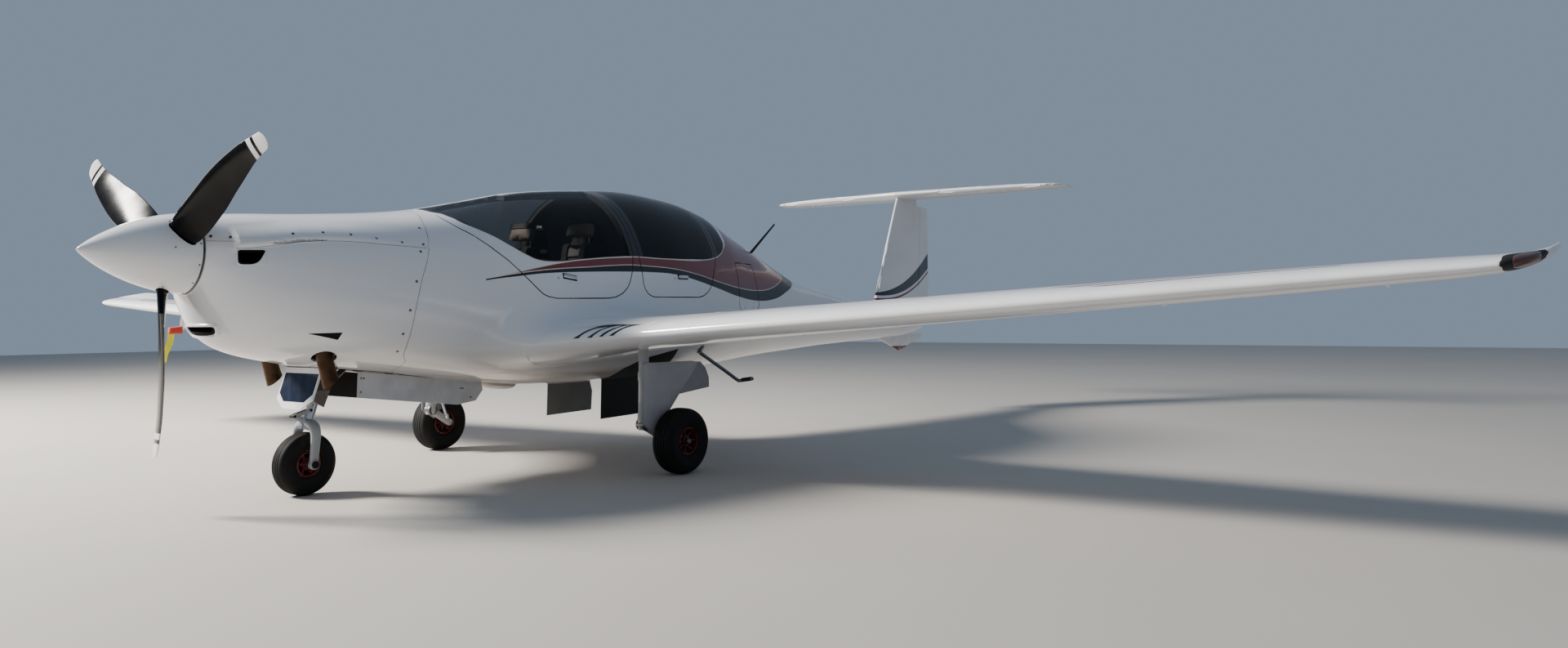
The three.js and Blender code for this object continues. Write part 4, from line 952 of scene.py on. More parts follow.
def spinner_finish():
    """Gloss white with a thin dark joint where the shell meets its back plate."""
    paint = Finish("spinner_white", WHITE_PAINT, 0.14, coat_weight=0.6, coat_roughness=0.04)
    grime = paint.noise(4.0, 3.0)
    joint = (paint.place()[1] + ORIGIN_STATION).above(0.4715, 0.0008)
    color = paint.mix(grime.above(0.58, 0.3) * 0.2, WHITE_PAINT, (0.55, 0.53, 0.50))
    paint.feed(base_color=paint.mix(joint, color, (0.03, 0.03, 0.035)),
               roughness=grime * 0.1 + joint * 0.3 + 0.08)
    return paint.peel().material


def blade_finish():
    """Satin black, with white and black bands by share of the radius, a pale worn strip along the front
    edge, and faint scrapes."""
    paint = Finish("blade_satin_black", BAND_BLACK, 0.35, specular_ior_level=0.09)
    share = paint.node("ShaderNodeAttribute", {"attribute_name": "share"}, out="Fac")
    across = paint.node("ShaderNodeAttribute", {"attribute_name": "across"}, out="Fac")
    nick = paint.noise(140.0, 3.0)
    dust = paint.noise(16.0, 3.0)
    color = paint.mix(dust.above(0.5, 0.3) * 0.4, (0.0022, 0.0022, 0.0025), (0.007, 0.007, 0.007))
    white = (share.above(0.925, 0.002) + share.within(0.875, 0.905, 0.002)).math("MINIMUM", 1.0)
    color = paint.mix(white, color, (0.72, 0.72, 0.71))
    strip = (1 - across.above(0.035, 0.012)) * share.within(0.30, 0.97, 0.01)
    worn = (strip * 0.75 + strip * nick.above(0.55, 0.1) * 0.25) * (1 - white * 0.6)
    color = paint.mix(worn * 0.5, color, (0.34, 0.33, 0.31))
    paint.feed(base_color=color, roughness=dust * 0.08 + nick * 0.05 + 0.10)
    return paint.bump(nick, 0.00008, 0.5).material


def door_paint(name, color, dirt_color, outer=None, beyond=0.0):
    """Paint of a flat door, dusty and flecked; beyond a distance from the middle it takes another colour."""
    paint = Finish(name, color, 0.3, specular_ior_level=0.25)
    dust = paint.noise(9.0, 4.0)
    fleck = paint.noise(90.0)
    if outer:
        rim = paint.place()[0].size().above(beyond, 0.0005)
        color, dirt_color = paint.mix(rim, color, outer), paint.mix(rim, dirt_color, dim(outer, 1.6))
    dirty = dust.above(0.48, 0.3) * 0.35 + fleck.above(0.64, 0.08) * 0.12
    paint.feed(base_color=paint.mix(dirty, color, dirt_color), roughness=dust * 0.2 + 0.30)
    return paint.bump(dust, 0.0006, 0.3).material


def nose_plate_finish():
    """The folded plate before the nose leg: a white frame round a navy field with paler slants on its face,
    and stained grey folds."""
    paint = Finish("nose_plate_navy", WHITE_PAINT, 0.25, specular_ior_level=0.3)
    x, y, z = paint.place()
    dust = paint.noise(12.0, 3.0)
    white = paint.mix(dust.above(0.5, 0.3) * 0.3, WHITE_PAINT, (0.55, 0.53, 0.50))
    taper = (0.527 - z).math("MAXIMUM", 0.0) * 1.4
    field = (1 - (x.size() + taper).above(0.155, 0.0015)) * z.within(0.484, 0.630, 0.0015)
    edge = z.within(0.658, 0.663, 0.001)
    slant = (x + z * 0.55).math("PINGPONG", 0.045)
    navy = paint.mix(slant.above(0.028, 0.002) * 0.3, (0.003, 0.006, 0.020), (0.012, 0.028, 0.066))
    behind = y - (z * 0.31 + (1.121 - 0.650 * 0.31 - ORIGIN_STATION))
    front = 1 - behind.above(0.002, 0.001)
    fold = behind.above(0.009, 0.001)
    low = 1 - z.above(0.545, 0.01)
    grey = paint.mix(dust, paint.mix(low, (0.045, 0.038, 0.030), (0.20, 0.165, 0.14)), (0.035, 0.030, 0.026))
    face = paint.mix(edge, paint.mix(field * front, white, navy), (0.02, 0.018, 0.016))
    color = paint.mix(fold, face, grey)
    paint.feed(base_color=color, roughness=dust * 0.15 + 0.14)
    return paint.bump(paint.noise(400.0), 0.00005).material


def fin_paint():
    """Gloss white with a plain tapering dark band that rises aft, and a thin crimson line under it."""
    paint = Finish("gloss_white_fin", WHITE_PAINT, 0.16, **GLOSS)
    y, z = paint.place()[1:]
    aft = y + (ORIGIN_STATION - 6.95)
    grime = paint.noise(3.1, 3.0, (1.4, 0.5, 1.4))
    rise = z - aft * aft * 0.30 - 1.13
    wide = aft * 0.060 + 0.012
    color = paint.mix(grime.above(0.55, 0.35) * 0.2, WHITE_PAINT, STAIN)
    color = paint.mix(1 - (rise.size() - wide).above(0.0, 0.002), color, BAND_BLACK)
    color = paint.mix(1 - ((rise + wide + 0.035).size() - 0.010).above(0.0, 0.002), color, CRIMSON)
    paint.feed(base_color=color, roughness=grime * 0.12 + 0.10)
    return paint.peel().material


def lower_fin_paint():
    """Gloss white with a crimson tip."""
    paint = Finish("gloss_white_lower_fin", WHITE_PAINT, 0.18, **GLOSS)
    z = paint.place()[2]
    grime = paint.noise(5.0, 3.0)
    color = paint.mix(grime.above(0.5, 0.3) * 0.3, WHITE_PAINT, STAIN)
    paint.feed(base_color=paint.mix(z.above(0.628, 0.001), CRIMSON, color), roughness=grime * 0.15 + 0.12)
    return paint.peel().material


def lens(name, color):
    """Clear moulded plastic with a faint ripple."""
    made = Finish(name, color, 0.05, alpha=0.55, coat_weight=1.0, coat_roughness=0.02)
    ripple = made.noise(60.0)
    made.feed(roughness=ripple * 0.08 + 0.02)
    return made.bump(ripple, 0.0004, 0.4).material


def cloth(name, color, weave):
    """Woven cloth: a fine two-way weave, faded patches and a dull sheen."""
    made = Finish(name, color, 0.85, sheen_weight=0.2)
    thread = made.node("ShaderNodeTexWave", {"wave_type": "BANDS", "bands_direction": "Z"}, {
        "Vector": made.node("ShaderNodeTexCoord", out="Object"), "Scale": weave, "Distortion": 0.6})
    fade = made.noise(12.0, 3.0)
    made.feed(base_color=made.mix(fade.above(0.5, 0.3) * 0.4, color, dim(color, 0.6)),
              roughness=thread * 0.1 + 0.77)
    return made.bump(thread, 0.0004, 0.5).material


white_body = body_paint("gloss_white_body")
white_gloss = plain_paint("gloss_white")
wing_white = wing_paint()
fin_white = fin_paint()
lower_fin_white = lower_fin_paint()
spinner_paint = spinner_finish()
blade_paint = blade_finish()
plate_paint = nose_plate_finish()
# Bay doors: near black within 0.1335 m of the middle, painted shade on their inner faces; grey farther out.
bay_door_paint_with_painted_shade = door_paint("bay_door_grey_painted_shade_inside", (0.030, 0.030, 0.031), (0.05, 0.047, 0.044),
                            (0.47, 0.48, 0.50), 0.1335)
leg_door_paint = door_paint("leg_door_grey", (0.30, 0.31, 0.33), (0.20, 0.20, 0.20))
leg_plate_paint = door_paint("leg_plate_grey", (0.42, 0.43, 0.46), (0.30, 0.30, 0.31))
# Belly doors: grey within 0.2535 m of the middle and near black farther out, painted shade on those faces.
belly_door_paint_with_painted_shade = door_paint("belly_door_grey_painted_shade_outside", (0.20, 0.20, 0.195), (0.12, 0.115, 0.11),
                              (0.005, 0.005, 0.0055), 0.2535)
belly_cream = plain_paint("belly_cream", (0.50, 0.47, 0.42), 0.35, 0.5, (0.22, 0.17, 0.12))
glass_tint = tinted_glass("tinted_acrylic", 0.42)
glass_dark = tinted_glass("dark_acrylic", 0.86)
lining_dark = cabin_lining()
alloy = metal("brushed_alloy", (0.62, 0.63, 0.65), 0.34)
chrome = metal("polished_steel", (0.68, 0.69, 0.71), 0.2, dirt=0.15)
strut_grey = plain_paint("strut_grey", (0.34, 0.35, 0.36), 0.4, 0.4, (0.15, 0.14, 0.13))
dark_steel = metal("dark_steel", (0.16, 0.16, 0.17), 0.4)
exhaust_metal = metal("heat_browned_steel", (0.085, 0.050, 0.030), 0.55, 60.0, (1, 1, 2), 0.85)
engine_metal = metal("cast_engine", (0.22, 0.22, 0.23), 0.6, 90.0, (1, 1, 1), 0.6, 0.7)
tyre_rubber = rubber()
hub_red = plain_paint("hub_red", (0.10, 0.006, 0.007), 0.35, 0.45, (0.02, 0.010, 0.008), 0.15)
# Near black for the inlet ducts, the cowl outlets, the handle recesses and the plate inside each wheel: black,
# and painted shade in these openings and recesses.
black_and_painted_shade = plain_paint("black_and_painted_shade", (0.004, 0.004, 0.0045), 0.8, 0.3, (0.010, 0.010, 0.010), 0.0)
panel_black = plain_paint("panel_black", (0.014, 0.014, 0.015), 0.6, 0.3, (0.035, 0.035, 0.035), 0.05)
lens_red = lens("lens_red", (0.16, 0.05, 0.045))
lens_green = lens("lens_green", (0.05, 0.13, 0.08))
cover_red = cloth("cover_red", (0.45, 0.03, 0.015), 420.0)
streamer_yellow = cloth("streamer_yellow", (0.75, 0.68, 0.03), 420.0)


# Body shell, doors, glass and cowling

def body_reach(p):
    """Edge length on the body: shorter at its small ends."""
    station = p[:, 1] + ORIGIN_STATION
    return np.where((station < 0.75) | (station > 5.2), 0.045, 0.10)


def bulge_height(p):
    """How far the cowling swells out: its swell times a smooth rise above the seam and a smooth fall over
    the shoulder, less a shallow hollow round the side inlets."""
    s, z = p[:, 1] + ORIGIN_STATION, p[:, 2]
    low, ridge, swell = [np.interp(s, BULGE["station"], BULGE[row]) for row in ("seam", "ridge", "swell")]
    up = np.clip((z - low + 0.012) / (ridge - low + 0.012), 0, 1)
    down = np.clip((z - ridge) / 0.09, 0, 1)
    rise = swell * up * up * (3 - 2 * up) * (1 - down * down * (3 - 2 * down))
    hollow = 0.008 * np.clip((s - 0.535) / 0.045, 0, 1) ** 2 * np.exp(-(((z - 1.208) / 0.034) ** 4))
    return rise - hollow * (s < 0.64)


def cowl_reach(p):
    """Edge length on the cowling: short at its nose and along the bulge's lower edge."""
    station = p[:, 1] + ORIGIN_STATION
    seam = np.interp(station, BULGE["station"], BULGE["seam"])
    above = np.abs(p[:, 2] - seam - 0.01)
    near = (station > 0.56) & (station < 1.50)
    beside = (station < 0.64) | (near & (above < 0.05))
    return np.where(near & (above < 0.028), 0.009, np.where(beside, 0.014, 0.034))


BULGE = {
    "station": (0.572, 0.592, 0.70, 0.85, 1.00, 1.15, 1.30, 1.48),
    "seam": (1.248, 1.248, 1.262, 1.290, 1.300, 1.300, 1.292, 1.285),
    "ridge": (1.274, 1.274, 1.288, 1.316, 1.326, 1.326, 1.318, 1.310),
    "swell": (0.0, 0.016, 0.018, 0.018, 0.016, 0.012, 0.007, 0.0),
}
CABIN_WALL = 0.012
PAINTED = (white_body, white_body, lining_dark)
BODY_SKINS = {
    "columns": ("node", "wall", "finishes outside, at the edges and inside"),
    "rows": (
        ("fuselage", 0.036, PAINTED),
        ("belly", 0.05, (white_body, lining_dark, lining_dark)),
        ("tail_boom", 0.036, PAINTED),
        ("front_door_left", 0.034, PAINTED),
        ("front_door_right", 0.034, PAINTED),
        ("rear_door", 0.034, PAINTED),
        ("baggage_door", 0.024, PAINTED),
        ("front_door_glass_left", 0.014, (glass_tint,) * 3),
        ("front_door_glass_right", 0.014, (glass_tint,) * 3),
        ("rear_door_glass", 0.014, (glass_dark,) * 3),
        ("rear_quarter_glass", 0.014, (glass_dark,) * 3),
        ("rear_window_right", 0.014, (glass_dark,) * 3),
    ),
}
hull = hull_surface()
for node, wall, finishes in BODY_SKINS["rows"]:
    smooth_copy(node, ((hull_surface(wall), -1, 0.013, 2), (hull, 1, 0.0135, 0)), body_reach, finishes,
                (hull, CABIN_WALL, 2))

bulged_hull = hull_surface(lambda p: -bulge_height(p))
for node in ("cowl_upper", "cowl_lower"):
    smooth_copy(node, ((hull_surface(0.014), -1, 0.013, 2), (bulged_hull, 1, 0.030, 0)), cowl_reach,
                (white_body, white_body, dark_steel), (hull, CABIN_WALL, 2))


def spinner_radius(station):
    """R (1 - (1 - u)^1.75)^0.86, u being the share of the spinner's length."""
    return SPINNER_RADIUS * (1 - (1 - station / SPINNER_LENGTH) ** 1.75) ** 0.86


def spinner_surface(p):
    """Distance from the propeller's axis less the spinner's radius."""
    station = np.clip(p[:, 1] + ORIGIN_STATION, 1e-5 * SPINNER_LENGTH, SPINNER_LENGTH)
    return np.hypot(p[:, 0], p[:, 2] - AXIS_HEIGHT) - spinner_radius(station)


def even_reach(length):
    return lambda p: np.full(len(p), length)


def foil_reach(table, nose, fine, coarse):
    """Edge length on a wing: fine over its round nose, coarse behind that share of its chord."""
    def value(p):
        at = table.at(np.abs(p[:, 0]))
        t = (p[:, 1] + ORIGIN_STATION - at["lead"]) / (at["trail"] - at["lead"])
        return np.where(t < nose, fine, coarse)
    return value


smooth_copy("spinner", ((spinner_surface, 1, 0.009, 0),), even_reach(0.02), (spinner_paint, dark_steel),
            (spinner_surface, 0.004, 1))

FOIL_SKINS = {
    "columns": ("nodes", "surface", "tolerance", "edge length", "finish"),
    "rows": (
        (("wing_left", "flap_left", "aileron_left", "wing_right", "flap_right", "aileron_right"),
         wing_surface, 0.012, foil_reach(wing_table, 0.04, 0.028, 0.14), wing_white),
        (("tailplane", "elevator"), tail_surface, 0.006, foil_reach(tail_table, 0.05, 0.022, 0.10),
         white_gloss),
        (("fin", "rudder"), fin_surface, 0.007, even_reach(0.07), fin_white),
        (("ventral_fin",), lower_fin_surface, 0.004, even_reach(0.07), lower_fin_white),
    ),
}
for nodes, surface, tolerance, reach, finish in FOIL_SKINS["rows"]:
    for node in nodes:
        smooth_copy(node, ((surface, 1, tolerance, 0),), reach, (finish,))


# Places on the body

def side_point(station, height):
    """The body's left side: x = half (1 - (|z - wide| / rise)^p)^(1/p)."""
    at = body_table.at(station)
    over = height - at["wide"]
    rise = np.where(over > 0, at["top"] - at["wide"], at["wide"] - at["bottom"])
    power = np.where(over > 0, at["upper"], at["lower"])
    x = at["half"] * np.maximum(1 - (np.abs(over) / rise) ** power, 0) ** (1 / power)
    return np.stack(np.broadcast_arrays(x, at_station(station), height), -1)


def low_point(x, station):
    """The body's underside: z = wide - (wide - bottom) (1 - (|x| / half)^p)^(1/p)."""
    at = body_table.at(station)
    rise = at["wide"] - at["bottom"]
    z = at["wide"] - rise * np.maximum(1 - (np.abs(x) / at["half"]) ** at["lower"], 0) ** (1 / at["lower"])
    return np.stack(np.broadcast_arrays(x, at_station(station), z), -1)


def nose_point(x, height):
    """The body's front seen from ahead: the station where the body first reaches x and z, by halving."""
    near, far = np.full(np.shape(x), 0.484), np.full(np.shape(x), 0.9)
    for _ in range(24):
        middle = (near + far) / 2
        inside = hull(np.stack([x, at_station(middle), height], -1)) < 0
        near, far = np.where(inside, near, middle), np.where(inside, middle, far)
    return np.stack([x, at_station(far), height], -1)


def body_normal(points):
    flat = points.reshape(-1, 3)
    return unit(slope_of(hull, flat)[1]).reshape(points.shape)


def patch(points, proud, deep):
    """A thin shape that lies on the body, from proud above the skin to deep under it."""
    normal = body_normal(points)
    proud = np.asarray(proud)[..., None] if np.ndim(proud) else proud
    return slab(points + normal * proud, points - normal * deep)


def studs(places, normals, radius, proud):
    """A round fastener with a sunk middle at each place."""
    profile = ((radius, -0.004), (radius, proud * 0.5), (radius * 0.85, proud), (radius * 0.42, proud),
               (radius * 0.36, proud * 0.2))
    return [lathe(profile, place, normal, 14) for place, normal in zip(places, normals)]


def give(piece, name, values):
    """A number on every point of a piece, for its material to read."""
    attribute = piece.data.attributes.new(name, "FLOAT", "POINT")
    attribute.data.foreach_set("value", np.asarray(values, np.float32).ravel())


# Propeller

PROP_RADIUS = 0.966
PROP_STATION = 0.392
BLADE_SIDES = 48
BLADE_TURNS = {
    "columns": ("name", "degrees"),
    "rows": (("bottom", 180), ("upper_left", 60), ("upper_right", -60)),
}


def blade_shape(degrees):
    """A wing section at each share r of the radius, turned by its pitch, drawn out to r and turned about
    the shaft. Near the shaft the section goes over to an oval, and past the tip's last share its chord
    falls as sqrt(1 - u^2). The share and the place across the chord are given for every point."""
    share = np.concatenate([np.linspace(0.088, 0.2, 9), np.linspace(0.225, 0.94, 42),
                            0.94 + 0.06 * np.sin(np.linspace(0.12, 1, 14) * math.pi / 2)])
    at = {key: value[:, None] for key, value in blade_table.at(share).items()}
    u = np.clip((share - 0.972) / 0.0282, 0, 1)[:, None]
    chord, thick = at["chord"] * np.sqrt(1 - u ** 2), at["thick"] * (1 - 0.6 * u)
    a = ring_angles(BLADE_SIDES)
    t = (1 - np.cos(a)) / 2
    foil = np.sign(np.sin(a)) * (section_half(t) + 0.03 * t)
    w = np.clip((share - 0.12) / 0.16, 0, 1)[:, None]
    w = w * w * (3 - 2 * w)
    along = (t - 0.5) * chord
    across = thick * (foil * w + 0.5 * np.sin(a) * (1 - w)) - 0.012 * chord * 4 * t * (1 - t) * w
    pitch = np.radians(at["pitch"])
    x = along * np.cos(pitch) - across * np.sin(pitch) + at["sweep"]
    y = along * np.sin(pitch) + across * np.cos(pitch)
    z = np.broadcast_to(share[:, None] * PROP_RADIUS, x.shape)
    turn = math.radians(degrees)
    grid = np.stack([x * math.cos(turn) + z * math.sin(turn), y + at_station(PROP_STATION),
                     z * math.cos(turn) - x * math.sin(turn) + AXIS_HEIGHT], -1)
    shares = np.append(np.repeat(share, BLADE_SIDES), share[[0, -1]])
    return grid_solid(grid), shares, np.append(np.tile(t, len(share)), (0.5, 0.5))


for name, degrees in BLADE_TURNS["rows"]:
    node = "propeller_blade_" + name
    shape, share, across = blade_shape(degrees)
    blade = add_piece(node + "_shape", [shape], (blade_paint,), (node,), sharp=None, body="propeller")
    give(blade, "share", share)
    give(blade, "across", across)

hub_profile = ((0.02, -0.075), (0.05, -0.072), (0.066, -0.06), (0.074, -0.04), (0.078, -0.02), (0.078, 0.02),
               (0.074, 0.04), (0.078, 0.055), (0.078, 0.07), (0.06, 0.074))
bolt_profile = ((0.0085, -0.004), (0.0085, 0.008), (0.007, 0.0095), (0.004, 0.0095))
shaft = place(0, PROP_STATION, AXIS_HEIGHT)
hub_bolts = [lathe(bolt_profile, shaft + (0.052 * math.cos(a), -0.071, 0.052 * math.sin(a)), (0, -1, 0), 6)
             for a in ring_angles(6)]
add_piece("propeller_hub_shape", [lathe(hub_profile, shaft, (0, 1, 0))] + hub_bolts, (alloy,),
          ("propeller_hub",), sharp=30, body="propeller")


def on_spinner(station, angle):
    """A place on the spinner and its outward direction."""
    slope = (spinner_radius(station + 0.002) - spinner_radius(station - 0.002)) / 0.004
    out = np.array([math.cos(angle), 0, math.sin(angle)])
    return place(0, station, AXIS_HEIGHT) + out * spinner_radius(station), unit(out - np.array([0, slope, 0]))


SPINNER_SCREWS = [(0.462, math.radians(12 + 30 * k)) for k in range(12)]
SPINNER_SCREWS += [(0.352, math.radians(side + turn)) for side in (30, 150, 270) for turn in (-24, 24)]
screws = [on_spinner(*screw) for screw in SPINNER_SCREWS]
add_piece("spinner_screws", studs(*zip(*screws), 0.0042, 0.0012), (dark_steel,), slot="alloy",
          body="propeller")

# Cowling's fasteners, inlets and outlets

FASTENERS = {
    "columns": ("station", "height"),
    "rows": (
        (0.502, 1.306), (0.567, 1.303), (0.821, 1.318), (0.966, 1.332), (1.101, 1.329), (1.229, 1.319),
        (1.364, 1.308), (1.485, 1.305), (1.518, 1.399), (1.455, 1.264), (1.408, 1.105), (1.378, 0.955),
        (1.368, 0.833), (1.388, 0.741),
    ),
}
fasteners = np.array([side_point(*row) for row in FASTENERS["rows"]])
facing = body_normal(fasteners)
fasteners = fasteners + facing * bulge_height(fasteners)[:, None]
add_piece("cowl_fasteners", both_sides(studs(fasteners, facing, 0.0075, 0.0014)), (dark_steel,), slot="alloy")


def scoop(rim, mouth, rise, throat, out, deep):
    """A lip round an opening: from the rim on the skin up over a round edge to the mouth, down to the
    throat, and the dark duct behind it. Each row runs round the opening."""
    rows = []
    for share in (0.0, 0.25, 0.5, 0.75, 1.0):
        height = rise * math.sin(math.pi * (0.08 + 0.80 * share))
        rows.append(rim[0] * (1 - share) + mouth[0] * share
                    + (rim[1] * (1 - share) + mouth[1] * share) * height)
    under = rim[0] - rim[1] * 0.005
    lip = ring_solid(np.array([under] + rows + [throat[0] - throat[1] * 0.012]))
    middle = throat[0].mean(axis=0)
    rows = [mouth[0] + mouth[1] * rise * 0.2, throat[0] + throat[1] * 0.001, throat[0] - throat[1] * 0.03,
            middle + (throat[0] - middle) * 0.85 - out * deep]
    inner = [middle + (row - middle) * 0.975 + out * 0.002 for row in rows]
    return lip, grid_solid(np.array(rows[::-1] + inner))


def on_skin(points_at, outline):
    """An outline laid on the body, and the body's outward direction at each of its points."""
    points = points_at(outline[:, 0], outline[:, 1])
    return points, body_normal(points)


SIDE_CORNERS = (0.02, 0.035, 0.012, 0.012)
side_rim = rounded(((0.579, 1.167), (0.697, 1.171), (0.698, 1.249), (0.579, 1.246)),
                   (0.02, 0.02, 0.012, 0.012))
side_mouth = rounded(((0.584, 1.172), (0.655, 1.172), (0.692, 1.243), (0.584, 1.241)), SIDE_CORNERS)
side_throat = rounded(((0.587, 1.178), (0.660, 1.180), (0.688, 1.237), (0.587, 1.236)), SIDE_CORNERS)
side_lip, side_duct = scoop(on_skin(side_point, side_rim), on_skin(side_point, side_mouth), 0.0022,
                            on_skin(side_point, side_throat), np.array([0.8, -0.6, 0.0]), 0.11)
add_piece("side_inlets", both_sides([side_lip, *of_kind(1, side_duct)]), (white_gloss, black_and_painted_shade),
          slot="paint_white", sharp=40)


def chin_outline(radius, *half):
    """A rounded outline from its left half, given outwards from the bottom."""
    return rounded([(-x, z) for x, z in reversed(half)] + list(half), radius)


chin_rim = chin_outline(0.03, (0.055, 0.821), (0.128, 0.832), (0.158, 0.893))
chin_mouth = chin_outline(0.02, (0.05, 0.834), (0.112, 0.843), (0.134, 0.878))
chin_throat = chin_outline(0.015, (0.05, 0.850), (0.100, 0.851), (0.120, 0.874))
chin_lip, chin_duct = scoop(on_skin(nose_point, chin_rim), on_skin(nose_point, chin_mouth), 0.011,
                            on_skin(nose_point, chin_throat), np.array([0.0, -1.0, 0.25]), 0.09)
add_piece("chin_inlet", [chin_lip, *of_kind(1, chin_duct)], (white_gloss, black_and_painted_shade), slot="paint_white",
          sharp=40)

# Each cowl outlet is a thin near-black patch laid on the skin: painted shade of its opening.
u = np.linspace(0, 1, 16)[:, None]
outlet_top = np.array((0.915, 0.8405)) * (1 - u) + np.array((1.066, 0.844)) * u
outlet_low = spline(((0.915, 0.8395), (0.965, 0.829), (1.012, 0.8185), (1.060, 0.807)), 16)
v = np.linspace(0, 1, 8)[:, None, None]
outlet = outlet_low * (1 - v) + outlet_top * v
outlet_painted_shade = patch(side_point(outlet[..., 0], outlet[..., 1]), 0.0006, 0.003)
add_piece("cowl_outlets_painted_shade", both_sides([outlet_painted_shade]), (black_and_painted_shade,), slot="panel_black")


def pipe_shape(sign):
    """The pipe's outer wall down to its lip and its inner wall back up."""
    path = spline(places((0.226, 1.052, 0.925), (0.252, 1.060, 0.82), (0.262, 1.066, 0.74),
                         (0.262, 1.092, 0.66), (0.262, 1.115, 0.588)) * (sign, 1, 1), 22)
    outer = tube(path, 0.0385, sides=36)
    inner = tube(path, 0.0350, sides=36)
    slant = np.linspace(0, 1, 22)[:, None] ** 4
    for wall in (outer, inner):
        wall[..., 2] += slant * (wall[..., 1] - path[-1, 1]) * 0.55
    return grid_solid(np.concatenate([outer, inner[::-1][:14]]))


for side, sign in (("left", 1), ("right", -1)):
    add_piece("exhaust_pipe_" + side, [pipe_shape(sign)], (exhaust_metal,), ("exhaust_" + side,), sharp=50)

# Wheels


def tyre_shape(radius, width, rim, grooves):
    """A closed ring: bead, side, shoulder and a tread with grooves cut into it. The side's outline is a
    smooth path; the crown follows R - drop |x / h|^3."""
    half = width / 2
    side = spline(((rim, 0.60 * half), (rim + 0.003, 0.80 * half), (rim + 0.016, 0.885 * half),
                   (radius * 0.72, 0.995 * half), (radius * 0.86, 0.95 * half), (radius * 0.945, 0.80 * half),
                   (radius * 0.985, 0.58 * half)), 26)
    crown = np.linspace(0.54, -0.54, 15) * half
    tread = [(radius * (1 - 0.011 * abs(x / (0.54 * half)) ** 3), x) for x in crown]
    for x in [-x for x in reversed(grooves)] + list(grooves):
        top = radius * (1 - 0.011 * abs(x / (0.54 * half)) ** 3)
        tread += [(top, x + 0.0034), (top - 0.0045, x + 0.0022), (top - 0.0045, x - 0.0022),
                  (top, x - 0.0034)]
        tread = [(r, p) for r, p in tread
                 if abs(p - x) > 0.0033 or r < top - 0.004 or abs(abs(p - x) - 0.0034) < 1e-9]
    tread.sort(key=lambda point: -point[1])
    ridge = side.copy()
    ridge[14:16, 1] += 0.0012
    return np.vstack([ridge, tread, ridge[::-1] * (1, -1)])


RIM_LIP = ((0.010, 0.45), (0.001, 0.66), (0.001, 0.80), (0.006, 0.84), (0.012, 0.80), (0.014, 0.62),
           (0.020, 0.42))
HUB_BOSS = ((0.030, 0.60), (0.033, 0.54), (0.034, 0.30), (0.034, -0.30), (0.033, -0.54), (0.030, -0.60),
            (0.017, -0.60), (0.017, 0.60))


def hub_rings(rim, half):
    """Closed outlines of radius and place with their material's number: a rim with turned lips, a boss, and a
    near-black plate between them that stands for the brake and is painted shade in the openings between the
    spokes. RIM_LIP gives depths under the rim; all widths are shares of the half width."""
    lip = [(rim - d, -w) for d, w in RIM_LIP] + [(rim - d, w) for d, w in reversed(RIM_LIP)]
    # A near-black plate for the brake inside the wheel: painted shade seen through the openings between the
    # spokes.
    painted_shade_plate = ((0.032, -0.06), (rim - 0.016, -0.06), (rim - 0.016, 0.06), (0.032, 0.06))
    return [(np.array(ring) * (1, half), kind) for ring, kind in ((lip, 0), (HUB_BOSS, 0), (painted_shade_plate, 1))]


NOSE_AXLE = (1.143, 0.162)
MAIN_AXLE = (2.846, 0.190)
WHEELS = {
    "columns": ("name", "body", "x", "station", "radius", "width", "rim", "grooves on a side", "spokes"),
    "rows": (
        ("nose", "nose_wheel", 0.0, *NOSE_AXLE, 0.112, 0.070, (0.007, 0.021), 6),
        ("left", "main_wheel_left", 1.120, *MAIN_AXLE, 0.150, 0.084, (0.010, 0.030), 8),
        ("right", "main_wheel_right", -1.120, *MAIN_AXLE, 0.150, 0.084, (0.010, 0.030), 8),
    ),
}
for name, body, x, station, radius, width, rim, grooves, spokes in WHEELS["rows"]:
    centre = place(x, station, radius)
    half = width / 2
    tyre = lathe(tyre_shape(radius, width, rim, grooves), centre, sides=112, closed=True)
    add_piece(f"tyre_{name}_shape", [tyre], (tyre_rubber,), ("tyre_" + name,), sharp=40, body=body)
    parts = [(*lathe(ring, centre, sides=72, closed=True), kind) for ring, kind in hub_rings(rim, half)]
    for face in (-1, 1):
        for a in ring_angles(spokes):
            out = np.array([0, math.cos(a), math.sin(a)])
            path = [centre + out * r + (face * half * h, 0, 0)
                    for r, h in ((0.030, 0.46), (rim * 0.62, 0.40), (rim - 0.012, 0.60))]
            parts.append(bar(path, 0.0085, 0.006, across=np.cross(out, (1, 0, 0)), sides=12, square=3,
                             count=8))
            bolt = centre + out * 0.026 + (face * half * 0.6, 0, 0)
            head = ((0.0034, -0.002), (0.0034, 0.002), (0.0026, 0.003))
            parts += of_kind(2, lathe(head, bolt, (face, 0, 0), 6))
    add_piece(f"hub_{name}_shape", parts, (hub_red, black_and_painted_shade, dark_steel), ("hub_" + name,), body=body)

# Landing gear

STEER_TOP, STEER_LOW = place(0, 1.245, 0.690), place(0, 1.140, 0.330)


def on_strut(share):
    return STEER_TOP + (STEER_LOW - STEER_TOP) * share


def turned_bar(start, stop, profile, sides=36):
    """A turned part between two points: radii at shares of its length."""
    start, stop = np.asarray(start), np.asarray(stop)
    length = np.linalg.norm(stop - start)
    return lathe([(r, share * length) for r, share in profile], start, stop - start, sides)


